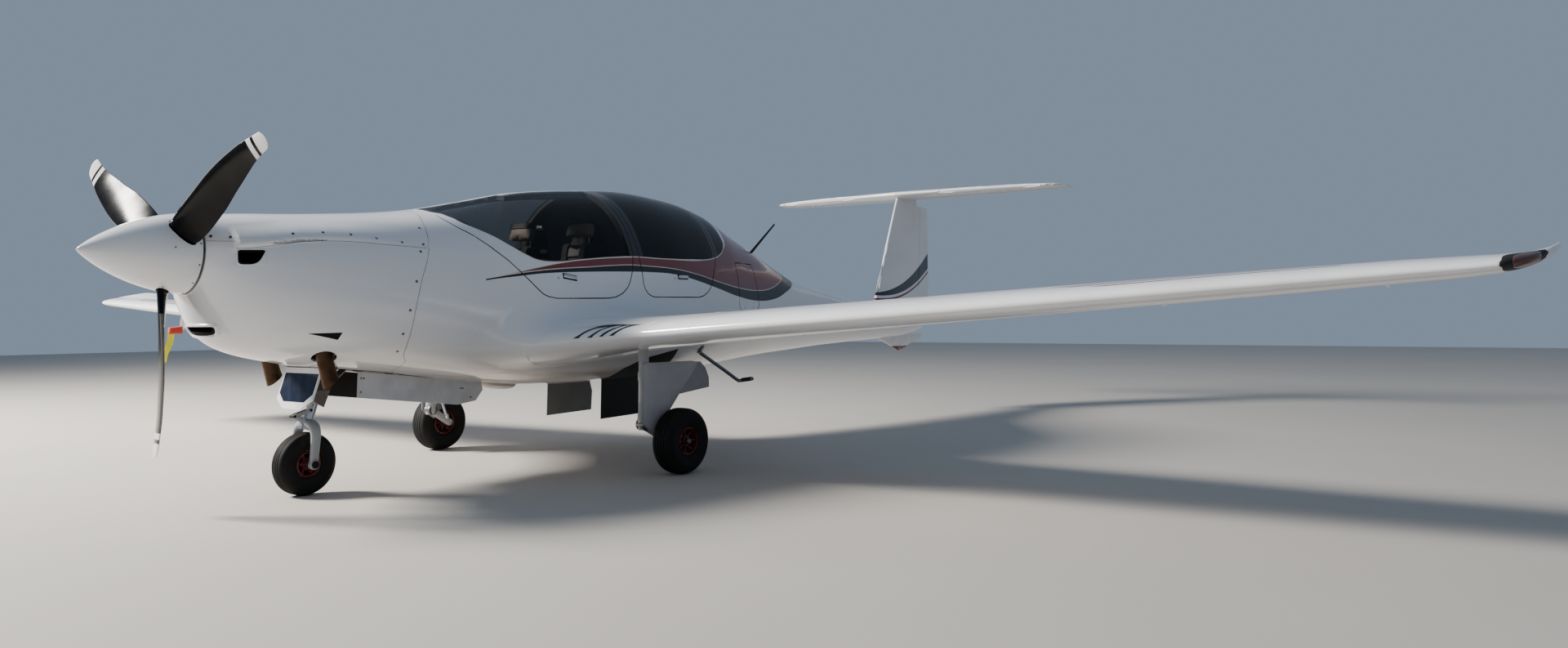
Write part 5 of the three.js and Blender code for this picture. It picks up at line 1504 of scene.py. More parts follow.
housing = turned_bar(on_strut(-0.1), on_strut(0.62), (
    (0.030, 0), (0.036, 0.01), (0.038, 0.03), (0.038, 0.44), (0.042, 0.46), (0.042, 0.53), (0.0375, 0.55),
    (0.0375, 0.86), (0.0415, 0.88), (0.0415, 0.97), (0.038, 1.0), (0.0275, 1.0), (0.0275, 0.96)))
upper_brace = bar(in_plane(0, (1.252, 0.726), (1.37, 0.756), (1.480, 0.782)), (0.027, 0.024), (0.020, 0.018),
                  square=3)
lower_brace = bar(in_plane(0, (1.190, 0.500), (1.34, 0.630), (1.480, 0.752)), (0.019, 0.016), (0.017, 0.015))
drag_eye = turned_bar(place(-0.034, 1.196, 0.506), place(0.034, 1.196, 0.506),
                      ((0.020, 0), (0.024, 0.05), (0.024, 0.95), (0.020, 1)))
add_piece("nose_leg_shape", [housing, upper_brace, *of_kind(1, lower_brace, drag_eye)],
          (strut_grey, dark_steel), ("nose_leg",), sharp=40)

FORK_ARM = 0.087
ARM_PATH = places((FORK_ARM, *NOSE_AXLE), (FORK_ARM, 1.1455, 0.215), (FORK_ARM, 1.149, 0.275),
                  (FORK_ARM - 0.003, 1.151, 0.315), (FORK_ARM - 0.019, 1.152, 0.348),
                  (FORK_ARM - 0.049, 1.1526, 0.366), (0, 1.1528, 0.372))
left_arm = bar(ARM_PATH, (0.0235, 0.0245, 0.0255, 0.027, 0.029, 0.031, 0.032),
               (0.0125, 0.0125, 0.0135, 0.016, 0.019, 0.022, 0.024),
               across=(0, 1, 0.03), sides=28, square=2.8, count=36, edge=0.2)


def on_axle(start, stop, profile):
    """A turned part on the nose wheel's axle, between two x."""
    return turned_bar(place(start, *NOSE_AXLE), place(stop, *NOSE_AXLE), profile)


BOSS = ((0.022, 0), (0.0255, 0.06), (0.0265, 0.2), (0.0265, 0.86), (0.024, 1))
AXLE_CAP = ((0.0185, 0), (0.0195, 0.3), (0.0185, 0.75), (0.012, 1.0), (0.006, 0.8))
bosses = [on_axle(sign * (FORK_ARM - 0.014), sign * (FORK_ARM + 0.016), BOSS) for sign in (1, -1)]
caps = [on_axle(sign * 0.100, sign * 0.1145, AXLE_CAP) for sign in (1, -1)]
axle = on_axle(-0.106, 0.106, ((0.013, 0), (0.016, 0.02), (0.016, 0.98), (0.013, 1)))
piston = turned_bar(on_strut(0.33), on_strut(0.985),
                    ((0.024, 0), (0.026, 0.01), (0.026, 0.86), (0.033, 0.88), (0.035, 0.93), (0.034, 1)))
knee, low_pin, high_pin = place(0, 1.070, 0.410), place(0, 1.135, 0.383), place(0, 1.160, 0.436)
link_low = [bar((low_pin + (x, 0, 0), (low_pin + knee) / 2 + (x * 0.8, 0, 0), knee + (x * 0.45, 0, 0)),
                (0.0055, 0.005), (0.011, 0.010), sides=16, square=4) for x in (-0.024, 0.024)]
link_high = [bar((high_pin + (x, 0, 0), (high_pin + knee) / 2 + (x * 0.9, 0, 0), knee + (x * 0.9, 0, 0)),
                 (0.0055, 0.005), (0.010, 0.009), sides=16, square=4) for x in (-0.016, 0.016)]
link_web = [bar([low_pin * (1 - v) + knee * v + (x, 0, 0) for x in (-w, w)], 0.006, 0.004, across=(0, 1, 1),
                sides=12, square=3, count=6) for v, w in ((0.28, 0.022), (0.62, 0.018))]
pins = [turned_bar(p - (w, 0, 0), p + (w, 0, 0), ((0.005, 0), (0.008, 0.04), (0.008, 0.96), (0.005, 1)), 20)
        for p, w in ((knee, 0.022), (low_pin, 0.034), (high_pin, 0.026))]
add_piece("nose_fork_shape", [left_arm, mirrored(left_arm), *bosses, *link_low, *link_high, *link_web,
                              *of_kind(1, piston, axle), *of_kind(2, *caps, *pins)],
          (strut_grey, chrome, tyre_rubber), ("nose_fork",), sharp=38, body="nose_steering_fork")


ROLLED_EDGE = 0.0016


def edge_copy(node, finish):
    """A copy of a packed sheet part, its corners rolled over by a small width."""
    piece = stand_in(make_mesh(node + "_panel", *node_triangles(node)), (finish,), node)
    merge = piece.modifiers.new("flat_faces", "DECIMATE")
    merge.decimate_type, merge.angle_limit = "DISSOLVE", math.radians(1)
    bevel = piece.modifiers.new("rolled_edges", "BEVEL")
    bevel.width, bevel.segments, bevel.angle_limit = ROLLED_EDGE, 2, math.radians(40)
    bevel.harden_normals = True


edge_copy("nose_plate_door", plate_paint)
for side in ("left", "right"):
    edge_copy("nose_bay_door_" + side, bay_door_paint_with_painted_shade)
    edge_copy("leg_door_" + side, leg_door_paint)
    edge_copy("belly_door_" + side, belly_door_paint_with_painted_shade)

DOOR_BOLTS = ((1.372, 0.596), (1.388, 0.594), (2.028, 0.508), (2.044, 0.506), (1.372, 0.522), (2.10, 0.452))
bolts = studs(in_plane(0.1365, *DOOR_BOLTS), [(1, 0, 0)] * len(DOOR_BOLTS), 0.0055, 0.0016)
add_piece("bay_door_bolts", both_sides(bolts), (dark_steel,), slot="alloy")


def main_gear(sign):
    """Leg with its collars, pivot, trailing arm, spring strut, axle and nut."""
    x = sign * 0.985
    post = turned_bar(place(x, 2.668, 0.7417), place(x, 2.668, 0.262), (
        (0.028, 0), (0.030, 0.02), (0.030, 0.30), (0.034, 0.32), (0.034, 0.40), (0.030, 0.42), (0.030, 0.80),
        (0.0345, 0.83), (0.0355, 0.95), (0.031, 1.0)))
    pivot = turned_bar(place(x - sign * 0.031, 2.668, 0.292), place(x + sign * 0.033, 2.668, 0.292),
                       ((0.014, 0), (0.034, 0.02), (0.036, 0.08), (0.036, 0.92), (0.030, 1.0)))
    arm = bar(places((x, 2.668, 0.288), (x + sign * 0.004, 2.735, 0.252), (x + sign * 0.012, 2.80, 0.214),
                     (x + sign * 0.019, *MAIN_AXLE)),
              (0.019, 0.018, 0.019, 0.022), (0.027, 0.024, 0.023, 0.024), sides=24, square=2.6, count=24)
    spring = turned_bar(place(x, 2.698, 0.488), place(x + sign * 0.005, 2.806, 0.226), (
        (0.010, 0), (0.019, 0.03), (0.020, 0.08), (0.020, 0.60), (0.0165, 0.62), (0.012, 0.63), (0.012, 0.90),
        (0.019, 0.92), (0.017, 1.0)))
    axle = turned_bar(place(x + sign * 0.003, *MAIN_AXLE), place(sign * 1.190, *MAIN_AXLE),
                      ((0.020, 0), (0.020, 0.10), (0.016, 0.12), (0.016, 0.98), (0.012, 1.0)))
    nut = turned_bar(place(sign * 1.168, *MAIN_AXLE), place(sign * 1.1895, *MAIN_AXLE),
                     ((0.0185, 0), (0.0185, 0.6), (0.015, 0.8), (0.008, 1.0)), 6)
    return [post, arm, *of_kind(1, spring), *of_kind(2, pivot, axle, nut)]


for side, sign in (("left", 1), ("right", -1)):
    add_piece("main_leg_" + side + "_shape", main_gear(sign), (strut_grey, chrome, dark_steel),
              ("main_leg_" + side,), sharp=38)

# Small outside pieces

step_bar = bar(places((0.415, 3.782, 0.706), (0.47, 3.87, 0.634), (0.545, 3.99, 0.536), (0.592, 4.066, 0.472),
                      (0.612, 4.073, 0.466), (0.68, 4.053, 0.475), (0.757, 4.031, 0.4855)),
               0.0125, count=40, edge=0.5)
tread = bar(places((0.640, 4.064, 0.472), (0.69, 4.050, 0.478), (0.742, 4.035, 0.485)), 0.0165, 0.0145,
            across=(0, 1, 0), sides=20, square=2.4, count=12, edge=0.4)
root = side_point(3.80, 0.69)
foot_plate = lathe(((0.034, -0.004), (0.034, 0.002), (0.030, 0.004), (0.016, 0.006)), root,
                   body_normal(root[None])[0], 28)
add_piece("boarding_step_shape", [step_bar, foot_plate, *of_kind(1, tread)], (dark_steel, tyre_rubber),
          ("boarding_step",), sharp=45)

mast = bar(in_plane(0, (4.925, 1.375), (5.01, 1.436), (5.16, 1.552), (5.342, 1.6915)), (0.0045, 0.003),
           (0.017, 0.008),
           across=(1, 0, 0), sides=20, count=30, edge=0.6)
mast_foot = bar(in_plane(0, (4.885, 1.431), (4.93, 1.418), (4.985, 1.401)), 0.019, 0.011, sides=20, count=14,
                edge=0.9)
add_piece("aerial_shape", [mast, *of_kind(1, mast_foot)], (panel_black, white_gloss), ("aerial",), sharp=60)

PROBE_SPAN = -3.95
probe_foot = bar(in_plane(PROBE_SPAN, (2.441, 0.968), (2.434, 0.91), (2.428, 0.842)), (0.0075, 0.0065),
                 (0.026, 0.020), across=(1, 0, 0), sides=24, count=14, edge=0.3)
probe_tube = bar(in_plane(PROBE_SPAN, (2.434, 0.838), (2.40, 0.8365), (2.365, 0.834), (2.332, 0.832)),
                 (0.0110, 0.0090), sides=20, count=20, edge=0.8)
add_piece("air_probe_shape", [probe_foot, *of_kind(1, probe_tube)], (white_gloss, alloy), ("air_probe",),
          sharp=60)
cover = bar(in_plane(PROBE_SPAN, (2.318, 0.829), (2.36, 0.831), (2.40, 0.833), (2.424, 0.834)),
            (0.018, 0.024), (0.026, 0.034), across=(1, 0, 0), sides=28, count=24, square=2.8, edge=0.5)
add_piece("probe_cover", [cover], (cover_red,), slot="fitting_grey", sharp=60)

STREAMER = {"width": 0.050, "length": 0.24}
down, over = np.meshgrid(np.linspace(0, 1, 41), np.linspace(-0.5, 0.5, 9), indexing="ij")
turn = 1.05 + 0.35 * down
ribbon = np.stack([PROBE_SPAN + over * STREAMER["width"] * np.cos(turn) + 0.006 * np.sin(5.2 * down),
                   at_station(2.338) + over * STREAMER["width"] * np.sin(turn)
                   + 0.007 * np.sin(6.0 * down) - 0.045 * down,
                   0.807 - STREAMER["length"] * down * (1 - 0.012 * down)], -1)
thin = np.stack([np.sin(turn), -np.cos(turn), 0 * down], -1) * 0.0006
streamer = add_piece("probe_streamer", [slab(ribbon + thin, ribbon - thin)], (streamer_yellow,), sharp=60)


def handle_shapes(station, z0, z1, length):
    """A thin black patch on the skin, painted shade of the flush recess, a lever over it that follows the skin,
    and the round lock ahead of it.
    """
    along = np.linspace(0, 1, 5)
    skin = side_point(station + length * along, z0 + (z1 - z0) * along)
    out = body_normal(skin)
    lever = bar(skin + out * 0.006, (0.0095, 0.011, 0.011, 0.0095), (0.0035, 0.004, 0.004, 0.0035),
                across=(0, 0, 1), square=3, count=20, edge=0.9)
    # A thin black patch on the skin under the lever: painted shade of the recess.
    s, z = np.meshgrid(np.linspace(station - 0.004, station + length + 0.004, 14),
                       np.linspace(-0.017, 0.017, 7), indexing="ij")
    painted_recess_shade = patch(side_point(s, z + np.interp(s, (station, station + length), (z0, z1))), 0.0007, 0.002)
    lock_place = side_point(np.array([station - 0.042]), np.array([z0 - 0.015]))
    lock = studs(lock_place, body_normal(lock_place), 0.011, 0.0018)
    return [lever, *lock, *of_kind(1, painted_recess_shade)]


front_handle = handle_shapes(2.388, 1.160, 1.147, 0.100)
rear_handle = handle_shapes(3.445, 1.183, 1.184, 0.110)
for name, shapes, body in (("front_handle_left", front_handle, "left_front_door"),
                           ("front_handle_right", [mirrored(shape) for shape in front_handle],
                            "right_front_door"),
                           ("rear_handle", rear_handle, "left_rear_door")):
    add_piece(name, shapes, (chrome, black_and_painted_shade), slot="alloy", body=body)
lock_place = side_point(np.array([4.363, 4.50]), np.array([0.980, 0.980]))
add_piece("baggage_locks", studs(lock_place, body_normal(lock_place), 0.012, 0.0018), (chrome,), slot="alloy",
          body="baggage_lid")

# Blister under the belly, covers under the flap and aileron hinges, tip lights and fuel caps

s, u = np.meshgrid(np.linspace(2.20, 2.46, 34), np.linspace(-1, 1, 25), indexing="ij")
width = 0.052 * np.clip(1 - ((s - 2.33) / 0.131) ** 4, 0, 1) ** 0.5
base = low_point(0.10 + u * width, s)
swell = 0.030 * np.clip(1 - u ** 2, 0, 1) ** 0.6 * np.clip(1 - ((s - 2.33) / 0.1305) ** 4, 0, 1) ** 0.7
blister = slab(base - np.stack([0 * s, 0 * s, swell - 0.0005], -1), base + (0, 0, 0.004))
add_piece("belly_blister", [blister], (belly_cream,), slot="paint_white", sharp=60)


def hinge_cover(x):
    """A teardrop under the wing, ahead of a control's hinge, its width and depth going as
    sqrt(v) (1 - v^2.2)."""
    v, a = np.meshgrid(np.linspace(0.0, 1, 26), np.linspace(0, math.pi, 15), indexing="ij")
    swell = 1.25 * np.sqrt(v) * (1 - v ** 2.2)
    span = x + 0.017 * swell * np.cos(a)
    skin = wing_point(span, 0.60 + 0.125 * v, -1)
    return slab(skin - np.stack([0 * v, 0 * v, 0.024 * swell * np.sin(a) - 0.0004], -1), skin + (0, 0, 0.004))


HINGE_SPANS = (0.95, 1.85, 2.78, 3.06, 3.95, 4.86)
covers = [hinge_cover(x) for x in HINGE_SPANS]
add_piece("hinge_covers", both_sides(covers), (white_gloss,), slot="paint_white", sharp=60)


def tip_light(x0, x1, back, proud):
    """A shell on the wing's nose between two spans, from under it round its front to above it."""
    a, span = np.meshgrid(np.linspace(-1, 1, 31), np.linspace(x0, x1, 17), indexing="ij")
    u = (span - (x0 + x1) / 2) / ((x1 - x0) / 2)
    skin = wing_point(span, back * a ** 2 * np.sqrt(np.clip(1 - u ** 2, 0.0004, 1)), np.where(a > 0, 1, -1))
    out = unit(slope_of(wing_surface, skin.reshape(-1, 3))[1]).reshape(skin.shape)
    fade = np.clip((1 - a ** 8), 0, 1)[..., None] * np.clip(1 - u ** 8, 0, 1)[..., None]
    return slab(skin + out * (0.0008 + proud * fade), skin - out * 0.003)


left_frame, left_lens = tip_light(5.258, 5.396, 0.17, 0.001), tip_light(5.292, 5.378, 0.115, 0.004)
add_piece("tip_lights", [*both_sides([left_frame]), *of_kind(1, left_lens), *of_kind(2, mirrored(left_lens))],
          (panel_black, lens_red, lens_green), slot="panel_black", sharp=60)

FUEL_CAP = ((0.040, -0.004), (0.040, 0.0006), (0.038, 0.0012), (0.030, 0.0012), (0.029, 0.0004),
            (0.012, 0.0006))
caps = []
for x in (1.55, -1.55):
    spot = wing_point(np.array(x), np.array(0.30), 1)
    caps.append(lathe(FUEL_CAP, spot, unit(slope_of(wing_surface, spot[None])[1])[0], 40))
add_piece("fuel_caps", caps, (alloy,), slot="alloy", sharp=40)

# Smooth fairing between the wing's root and the body


def foil_point(span, turn):
    """The wing's skin at a span, the turn going from the upper trailing edge over the nose to the lower one:
    chord share (1 + cos turn) / 2, upper where sin turn > 0."""
    return wing_point(span, (1 + np.cos(turn)) / 2, np.sign(np.sin(turn)))


def root_fairing():
    """For each place w where the wing's skin meets the body's, a curve from h, out along the body's skin, to
    o, out along the wing's: (1-v)^2 h + 2v(1-v) w + v^2 o. The reach is widest round the wing's nose."""
    turn = np.concatenate([np.linspace(0.30, 2.7, 90), np.linspace(2.72, 3.60, 60),
                           np.linspace(3.62, 4.35, 24)])
    near, far = np.full(len(turn), 0.335), np.full(len(turn), 0.80)
    for _ in range(26):
        middle = (near + far) / 2
        inside = hull(foil_point(middle, turn)) < 0
        near, far = np.where(inside, middle, near), np.where(inside, far, middle)
    corner = foil_point(near, turn)
    along = unit(np.gradient(corner, axis=0))
    hull_out, wing_out = unit(slope_of(hull, corner)[1]), unit(slope_of(wing_surface, corner)[1])
    away = np.cross(hull_out, along)
    away = unit(away * np.sign((away * wing_out).sum(axis=1, keepdims=True)))
    over = np.interp(turn, (0.30, 0.9, 1.9, 2.7, 3.14, 3.6, 4.0, 4.35),
                     (0.02, 0.035, 0.085, 0.15, 0.20, 0.15, 0.07, 0.012))
    out = np.interp(turn, (0.30, 0.9, 1.3, 1.9, 2.7, 3.14, 3.6, 4.0, 4.35),
                    (0.02, 0.03, 0.045, 0.10, 0.15, 0.16, 0.12, 0.06, 0.012))
    high = corner + away * over[:, None]
    for _ in range(4):
        value, slope = slope_of(hull, high)
        high = high - slope * (value / (slope ** 2).sum(axis=1))[:, None]
    wide = foil_point(near + out, turn)
    v = np.linspace(0, 1, 15)[None, :, None]
    curve = (1 - v) ** 2 * high[:, None] + 2 * v * (1 - v) * corner[:, None] + v ** 2 * wide[:, None]
    under = np.where(v < 0.5, high[:, None] * (1 - 2 * v) + corner[:, None] * 2 * v,
                     corner[:, None] * (2 - 2 * v) + wide[:, None] * (2 * v - 1))
    lift = unit(hull_out * 0.5 + wing_out * 0.5)[:, None]
    return slab(curve + lift * 0.0006, under - lift * 0.004)


fairing = root_fairing()
for name, shape in (("left", fairing), ("right", mirrored(fairing))):
    add_piece("wing_fairing_" + name, [shape], (white_body,), slot="paint_white", sharp=60)

FRONT_LEG_PLATE = ((2.617, 0.648), (2.626, 0.294), (2.724, 0.230), (3.115, 0.636), (3.06, 0.648))
leg_plate = plate([(at_station(s), z) for s, z in FRONT_LEG_PLATE], (1.0258, 0, 0), (0, 1, 0), (0, 0, 1),
                  0.0035, 0.02)
for side, shape in (("left", leg_plate), ("right", mirrored(leg_plate))):
    add_piece("leg_plate_front_" + side, [shape], (leg_plate_paint,), slot="paint_white", sharp=50)

# Cabin: stuffed seats, belts, panel and controls

SEAT_MIDDLE = 0.275
SWELL_STEPS = 20
SWELL_PRESSURE = 4.0


def made_even(piece):
    """The piece's mesh with its modifiers applied, as points and quads."""
    bpy.context.view_layer.update()
    mesh = bpy.data.meshes.new_from_object(piece.evaluated_get(bpy.context.evaluated_depsgraph_get()))
    points = np.empty(len(mesh.vertices) * 3)
    mesh.vertices.foreach_get("co", points)
    quads = np.empty(len(mesh.loops), int)
    mesh.loops.foreach_get("vertex_index", quads)
    bpy.data.meshes.remove(mesh)
    return points.reshape(-1, 3), quads.reshape(-1, 4)


def normals_of(points, quads):
    """Mean of the faces' normals about each point."""
    a, b, c, d = points[quads].transpose(1, 0, 2)
    out = np.zeros_like(points)
    np.add.at(out, quads.ravel(), np.repeat(np.cross(c - a, d - b), 4, axis=0))
    return unit(out)


def stuffed(shape, voxel, cap, rests, seams):
    """A closed shape remeshed evenly, then blown up as cloth by pressure with no point moving further than
    cap, flat against the planes that it rests on, and drawn in by depth e^(-(d/width)^2) at a distance d
    from a seam."""
    temporary = add_object("pad_blank", make_mesh("pad_blank", shape[0], [shape[1], shape[2]]))
    even = temporary.modifiers.new("even", "REMESH")
    even.mode, even.voxel_size = "VOXEL", voxel
    points, quads = made_even(temporary)
    bpy.data.objects.remove(temporary)
    pad = add_object("pad_cloth", make_mesh("pad_cloth", points, quads))
    swell = pad.modifiers.new("swell", "CLOTH")
    swell.settings.use_pressure = True
    swell.settings.uniform_pressure_force = SWELL_PRESSURE
    swell.settings.effector_weights.gravity = 0
    swell.point_cache.frame_start, swell.point_cache.frame_end = 1, SWELL_STEPS
    for frame_number in range(1, SWELL_STEPS + 1):
        bpy.context.scene.frame_set(frame_number)
    moved = made_even(pad)[0] - points
    far = np.linalg.norm(moved, axis=1, keepdims=True)
    points = points + moved * np.minimum(1, cap / np.maximum(far, 1e-9))
    bpy.context.scene.frame_set(1)
    bpy.data.objects.remove(pad)
    for place, out in rests:
        beyond = (points - place) @ np.asarray(out, float)
        points = points - np.maximum(beyond, 0)[:, None] * np.asarray(out, float)
    smooth = add_object("pad_smooth", make_mesh("pad_smooth", points, quads))
    finer = smooth.modifiers.new("finer", "SUBSURF")
    finer.levels = finer.render_levels = 1
    points, quads = made_even(smooth)
    bpy.data.objects.remove(smooth)
    drawn = sum(depth * np.exp(-(distance(points) / width) ** 2) for distance, depth, width in seams)
    return points - normals_of(points, quads) * np.reshape(drawn, (-1, 1)), quads, NO_FANS


def line_frame(start, stop):
    """Distances of points along a line between two (station, height) pairs, and to its upper side."""
    place, end = np.array([at_station(start[0]), start[1]]), np.array([at_station(stop[0]), stop[1]])
    along = unit(end - place)
    side = np.array([-along[1], along[0]])
    return (lambda p: (p[:, 1:] - place) @ along), (lambda p: (p[:, 1:] - place) @ side)


def pad_seams(line, half, cross, middle=0.0):
    """A seam round the pad at its half thickness, long channels at half from its middle, cross channels."""
    along, above = line_frame(*line)
    seams = [(above, 0.005, 0.006), (lambda p: np.abs(p[:, 0] - middle) - half, 0.008, 0.008)]
    return seams + [(lambda p, h=h: along(p) - h, 0.007, 0.009) for h in cross]


def under_line(start, stop):
    """The plane under or behind a line, as a point and the way out."""
    along = unit(np.array([stop[0] - start[0], stop[1] - start[1]]))
    return (0.0, at_station(start[0]), start[1]), (0.0, along[1], -along[0])


def pad_blank(line, middle, wide, deep):
    """The shape that a pad is blown up from: a bar along its line with rounded edges."""
    ends = in_plane(middle, *line)
    return bar((ends[0], ends.mean(axis=0), ends[1]), wide, deep, (1, 0, 0), 48, 5.0, 24, 0.6)


seat_black = leather("seat_black", (0.006, 0.0058, 0.0058))
seat_beige = leather("seat_beige", (0.34, 0.28, 0.21))
webbing = cloth("webbing_black", (0.012, 0.012, 0.012), 900.0)

PADS = {
    "columns": ("name", "line", "middle", "half widths", "half depths", "voxel", "cap", "rest line",
                "channel at",
                "cross channels", "finish"),
    "rows": (
        ("cushion", ((2.335, 0.902), (2.690, 0.892)), SEAT_MIDDLE, (0.195, 0.195), (0.040, 0.040), 0.010,
         0.024,
         ((2.30, 0.852), (2.70, 0.842)), 0.125, (0.12, 0.24), seat_black),
        ("back", ((2.738, 0.955), (2.855, 1.400)), SEAT_MIDDLE, (0.195, 0.160), (0.045, 0.030), 0.010, 0.024,
         ((2.806, 0.930), (2.918, 1.420)), 0.115, (0.11, 0.22, 0.33), seat_black),
        ("headrest", ((2.830, 1.432), (2.845, 1.535)), SEAT_MIDDLE, (0.108, 0.098), (0.034, 0.030), 0.006,
         0.014,
         ((2.878, 1.430), (2.893, 1.545)), 0.3, (), seat_beige),
        ("rear_cushion", ((3.262, 0.902), (3.560, 0.892)), 0.0, (0.450, 0.450), (0.040, 0.040), 0.014, 0.024,
         ((3.23, 0.852), (3.60, 0.842)), 0.02, (0.10, 0.20), seat_black),
        ("rear_back", ((3.640, 0.955), (3.765, 1.380)), 0.0, (0.440, 0.430), (0.045, 0.030), 0.014, 0.024,
         ((3.708, 0.930), (3.820, 1.390)), 0.02, (0.11, 0.22, 0.33), seat_black),
    ),
}


def add_pads():
    """The pads by piece name: a front one is stuffed once and stands on both sides."""
    made = {}
    for name, line, middle, wide, deep, voxel, cap, rest, half, cross, finish in PADS["rows"]:
        blank = pad_blank(line, middle, wide, deep)
        shape = stuffed(blank, voxel, cap, [under_line(*rest)], pad_seams(line, half, cross, middle))
        images = {"front_seat_left_" + name: shape, "front_seat_right_" + name: mirrored(shape)}
        for title, image in (images if middle else {name: shape}).items():
            node = title[:title.rindex("_")] if middle else "rear_bench"
            made[title] = add_piece(title, [image], (finish,), (node,), sharp=0)
    return made


pads = add_pads()


def seat_shell(name, node, middle, half, front, back, low, rail, top):
    """A moulded pan and back shell on a box, with rails along the floor where the seat slides. top gives the
    shell's upper end as its distance behind the back, its height and its share of the half width."""
    pan = bar(in_plane(middle, (front, 0.826), (back - 0.02, 0.815)), half, 0.016, sides=36, square=7,
              count=10)
    shell = bar(in_plane(middle, (back + 0.030, 0.815), (back + 0.082, 1.10), (back + 0.130, 1.345),
                         (back + top[0], top[1])),
                (half * 0.96, half, half * 0.85, half * top[2]), 0.010, sides=36, square=7, count=24)
    base = bar(in_plane(middle, (low[0], 0.7885), (low[1], 0.7885)), half * 0.74, 0.0200, sides=28, square=8,
               count=8)
    rails = [bar(in_plane(middle + at, (low[0] - 0.03, 0.7655), (low[1] + 0.03, 0.7655)), 0.012, 0.0045,
                 sides=16, square=6, count=8) for at in rail]
    add_piece(name, [pan, shell, base, *of_kind(1, *rails)], (panel_black, alloy), (node,), "fitting_grey")


for side, sign in (("left", 1), ("right", -1)):
    seat_shell(f"seat_shell_{side}", f"front_seat_{side}", sign * SEAT_MIDDLE, 0.212, 2.315, 2.775,
               (2.36, 2.70), (-0.13, 0.13), (0.150, 1.535, 0.48))
seat_shell("rear_bench_shell", "rear_bench", 0.0, 0.462, 3.245, 3.675, (3.30, 3.62), (), (0.148, 1.38, 0.82))


def cloud_of(piece):
    points = np.empty(len(piece.data.vertices) * 3)
    piece.data.vertices.foreach_get("co", points)
    return points.reshape(-1, 3)


def outermost(cloud, x, other, beside, axis, sign):
    """For each row of places (x, other), the outermost value that a cloud of points has along an axis within
    12 mm of the row, or a value between the next rows' where none is near."""
    near = np.hypot(cloud[:, 0] - x.ravel()[:, None], cloud[:, beside] - other.ravel()[:, None]) < 0.012
    found = np.where(near, sign * cloud[:, axis], -9.0).max(axis=1).reshape(x.shape).max(axis=1)
    row, known = np.arange(len(x)), found > -5
    return sign * np.interp(row, row[known], found[known])[:, None] + 0 * x


def belt_shapes(back, cushion, middle):
    """Two shoulder straps down the back pad and a lap strap over the cushion, each 46 mm wide."""
    shapes = []
    down, over = np.meshgrid(np.linspace(0, 1, 44), np.linspace(-1, 1, 5), indexing="ij")
    for sign in (-1, 1):
        x = middle + sign * (0.085 - 0.035 * down) + over * 0.023
        z = 1.39 - 0.39 * down
        y = outermost(back, x, z, 2, 1, -1) - 0.003
        sheet = np.stack([x, y, z], -1)
        shapes.append(slab(sheet - (0, 0.0016, 0), sheet))
    x = middle + (down * 2 - 1) * 0.185
    y = at_station(2.615) + over * 0.023
    z = outermost(cushion, x, y, 1, 2, 1) + 0.003
    sheet = np.stack([x, y, z], -1)
    shapes.append(slab(sheet + (0, 0, 0.0016), sheet))
    clasp = [(middle + end, at_station(2.615), z.max() + 0.009) for end in (-0.032, 0.032)]
    return shapes + of_kind(1, bar(clasp, 0.026, 0.007, (0, 1, 0), 24, 5, 10, 0.8))


for side, sign in (("left", 1), ("right", -1)):
    back, cushion = [cloud_of(pads[f"front_seat_{side}_{pad}"]) for pad in ("back", "cushion")]
    add_piece(f"harness_{side}", belt_shapes(back, cushion, sign * SEAT_MIDDLE), (webbing, chrome), sharp=50)


def headrest_cap(cloud):
    """A black cover over the top third of a headrest."""
    top = cloud[:, 2].max()
    foot = top - 0.034
    middle, y = cloud[:, 0].mean(), cloud[cloud[:, 2] > foot][:, 1].mean()
    line = ((middle, y - 0.002, foot), (middle, y + 0.004, top + 0.004))
    return bar(line, 0.104, 0.044, (1, 0, 0), 36, 3.2, 14, 0.9)


for side, sign in (("left", 1), ("right", -1)):
    cap = headrest_cap(cloud_of(pads[f"front_seat_{side}_headrest"]))
    add_piece(f"headrest_cap_{side}", [cap], (seat_black,), slot="seat_leather")
    posts = [bar(in_plane(sign * SEAT_MIDDLE + at, (2.862, 1.38), (2.862, 1.45)), 0.006, sides=16, count=8)
             for at in (-0.05, 0.05)]
    add_piece(f"headrest_posts_{side}", posts, (chrome,))

# Instrument panel and controls


def screen_finish():
    """Dark display glass, a little dusty."""
    made = Finish("screen_glass", (0.010, 0.014, 0.020), 0.12, **GLOSS)
    dust = made.noise(30.0, 3.0)
    made.feed(base_color=made.mix(dust.above(0.5, 0.3) * 0.3, (0.008, 0.012, 0.018), (0.03, 0.035, 0.04)),
              roughness=dust * 0.12 + 0.08)
    return made.bump(dust, 0.0001, 0.2).material


screen_glass = screen_finish()
PANEL_FACE = ((2.011, 1.290), (1.986, 1.090))
DISPLAYS = {
    "columns": ("across", "share down the face", "width", "height"),
    "rows": ((0.285, 0.52, 0.235, 0.155), (0.0, 0.52, 0.235, 0.155), (-0.285, 0.52, 0.235, 0.155)),
}
DIALS = {
    "columns": ("across", "share down the face", "radius"),
    "rows": ((0.140, 0.25, 0.014), (0.140, 0.80, 0.014), (-0.140, 0.25, 0.014), (-0.140, 0.80, 0.014),
             (0.430, 0.25, 0.022), (0.430, 0.80, 0.022), (-0.430, 0.25, 0.022), (-0.430, 0.80, 0.022)),
}


def on_face(across, share, out=0.0):
    """A place on the panel's rear face or proud of it, by its x and its share of the way down."""
    (s0, z0), (s1, z1) = PANEL_FACE
    way = unit(np.array([s1 - s0, z1 - z0]))
    return place(across, s0 + (s1 - s0) * share, z0 + (z1 - z0) * share) + (0, -way[1] * out, way[0] * out)


